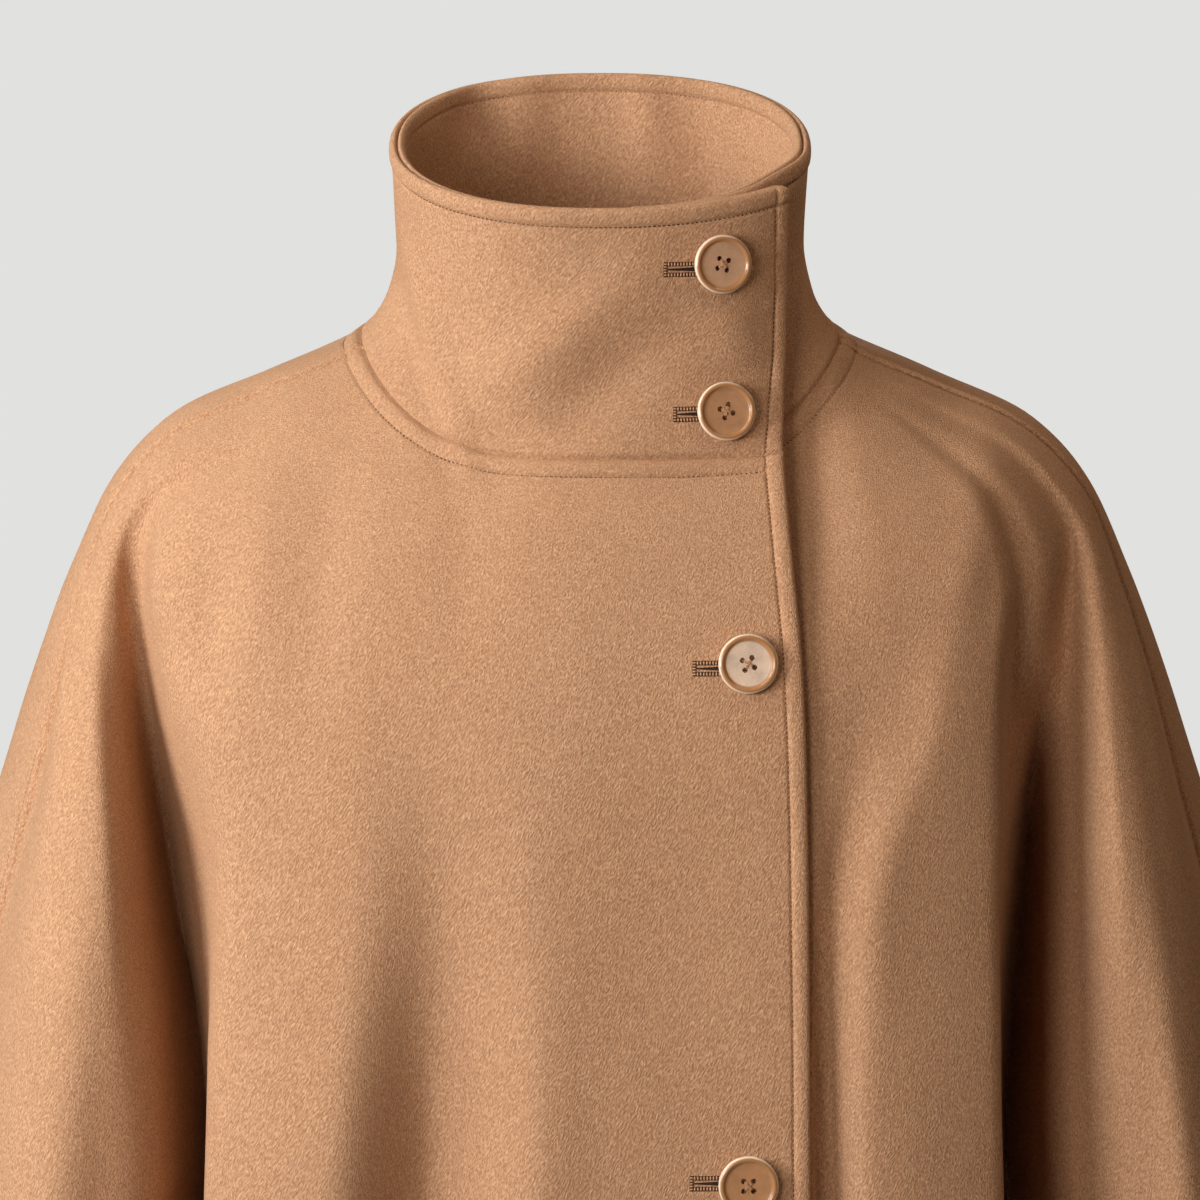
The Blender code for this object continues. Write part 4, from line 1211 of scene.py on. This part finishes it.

# %% [markdown]
# ## What the cloth was cut to
#
# These shells keep the length and the width of the cloth, so the cut can be read from them: the widest row,
# the longest column and the area.  Only the area of each piece is worked out, and printed where the piece is
# put into the scene.

# %% [markdown]
# ## Floor, light and camera
#
# The cape is shown on a plain pale ground, lit by a bank of soft lamps that stands along its left from low in
# front to high at the side.  They stand close, so their light falls off to the other side and downwards, and
# the folds there fall into shade.  Two weak lamps behind draw the outline and show the back.  The sky and the
# floor are pale to the eye and nearly nothing as a light: the floor glows for rays from the camera only.  The
# camera is a long lens, eight degrees above the cape's middle.

# %% Floor
FLOOR_Z, FLOOR_RADIUS, FLOOR_STEPS, FLOOR_RINGS = -1.45, 2.2, 96, 12
FLOOR_GLOW = 0.78
turn = 2 * np.pi * np.arange(FLOOR_STEPS) / FLOOR_STEPS
reach = FLOOR_RADIUS * np.arange(1, FLOOR_RINGS + 1)[:, None] / FLOOR_RINGS
flat = np.full((FLOOR_RINGS, FLOOR_STEPS), FLOOR_Z)
rings = np.stack([reach * np.cos(turn), reach * np.sin(turn), flat], -1)
points = np.concatenate([[(0, 0, FLOOR_Z)], rings.reshape(-1, 3)])
number = 1 + closed_rows(FLOOR_RINGS, FLOOR_STEPS)
squares = quads_of(number)
fan = np.stack([np.zeros(FLOOR_STEPS, int), number[0, :-1], number[0, 1:]], -1)
mesh = array_mesh("floor", points, np.concatenate([fan, squares[:, [0, 3, 2]], squares[:, [0, 2, 1]]]))
floor = bpy.data.objects.new("floor", mesh)
bpy.context.scene.collection.objects.link(floor)
material, tree, shader, coordinates = new_material("pale_floor", 0.9)
paint = ramp(tree, noise(tree, coordinates, 3, 3), ((0.3, srgb(214, 214, 212)), (0.7, srgb(220, 220, 218))))
tree.links.new(paint, shader.inputs["Base Color"])
tree.links.new(paint, shader.inputs["Emission Color"])
glow = tree.nodes.new("ShaderNodeMath")
glow.operation = "MULTIPLY"
glow.inputs[1].default_value = FLOOR_GLOW
tree.links.new(tree.nodes.new("ShaderNodeLightPath").outputs["Is Camera Ray"], glow.inputs[0])
tree.links.new(glow.outputs["Value"], shader.inputs["Emission Strength"])
mesh.materials.append(material)
floor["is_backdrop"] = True

# %% Light
scene = bpy.context.scene
scene.view_settings.view_transform = "Standard"
GROUND = srgb(225, 225, 223)
AMBIENT = 0.03
world = bpy.data.worlds.new("studio")
world.use_nodes = True
tree = world.node_tree
background = tree.nodes["Background"]
set_inputs(background, {"Color": srgb(255, 195, 145), "Strength": AMBIENT})
seen = tree.nodes.new("ShaderNodeBackground")
set_inputs(seen, {"Color": GROUND})
path = tree.nodes.new("ShaderNodeLightPath")
mix = tree.nodes.new("ShaderNodeMixShader")
tree.links.new(path.outputs["Is Camera Ray"], mix.inputs["Fac"])
tree.links.new(background.outputs["Background"], mix.inputs[1])
tree.links.new(seen.outputs["Background"], mix.inputs[2])
tree.links.new(mix.outputs["Shader"], tree.nodes["World Output"].inputs["Surface"])
scene.world = world


LAMP_DISTANCE, LAMP_SIZE, LAMP_AIM = 1.6, 0.5, Vector((0, -0.04, -0.10))
WHITE, WARM = (1, 1, 1), (1, 0.80, 0.62)
LAMPS = (
    # name, azimuth from straight ahead to the viewer's right and elevation in degrees, power, colour
    ("key_low", -50, 8, 16.9, WHITE),
    ("key_side", -74, 30, 8.4, WHITE),
    ("key_top", -91, 58, 7.0, WHITE),
    ("front", -22, 10, 8.4, (1, 0.92, 0.82)),
    ("fill", 60, 55, 4.4, WARM),
    ("kicker", 135, 25, 3.4, WARM),
    ("rear", 178, 8, 8.0, WHITE),
)


def lamp(name, azimuth, elevation, power, colour):
    """A square soft lamp at a place round the cape, aimed at its middle."""
    azimuth, elevation = math.radians(azimuth), math.radians(elevation)
    direction = Vector((math.sin(azimuth) * math.cos(elevation), -math.cos(azimuth) * math.cos(elevation),
                        math.sin(elevation)))
    light = bpy.data.lights.new(name, "AREA")
    light.shape = "SQUARE"
    light.size = LAMP_SIZE
    light.energy = power
    light.color = colour
    item = bpy.data.objects.new(name, light)
    item.location = LAMP_AIM + direction * LAMP_DISTANCE
    item.rotation_euler = (LAMP_AIM - item.location).to_track_quat("-Z", "Y").to_euler()
    scene.collection.objects.link(item)


for row in LAMPS:
    lamp(*row)
print("lamps:", len(LAMPS))

# %% Camera
CAMERA_DISTANCE, CAMERA_RISE, AIM_Z = 2.4, math.radians(8), -0.137
FOCAL_PIXELS, FRAME_PIXELS, SENSOR = 4861, 1200, 36
camera = bpy.data.objects.new("camera", bpy.data.cameras.new("camera"))
camera.data.sensor_width = SENSOR
camera.data.lens = FOCAL_PIXELS / FRAME_PIXELS * SENSOR
camera.location = (0, -CAMERA_DISTANCE * math.cos(CAMERA_RISE),
                   AIM_Z + CAMERA_DISTANCE * math.sin(CAMERA_RISE))
camera.rotation_euler = (math.pi / 2 - CAMERA_RISE, 0, 0)
scene.collection.objects.link(camera)
scene.camera = camera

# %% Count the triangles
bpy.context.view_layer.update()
meshes = [item.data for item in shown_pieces() if item.type == "MESH"]
print("triangles in all:", sum(len(polygon.vertices) - 2 for mesh in meshes for polygon in mesh.polygons))
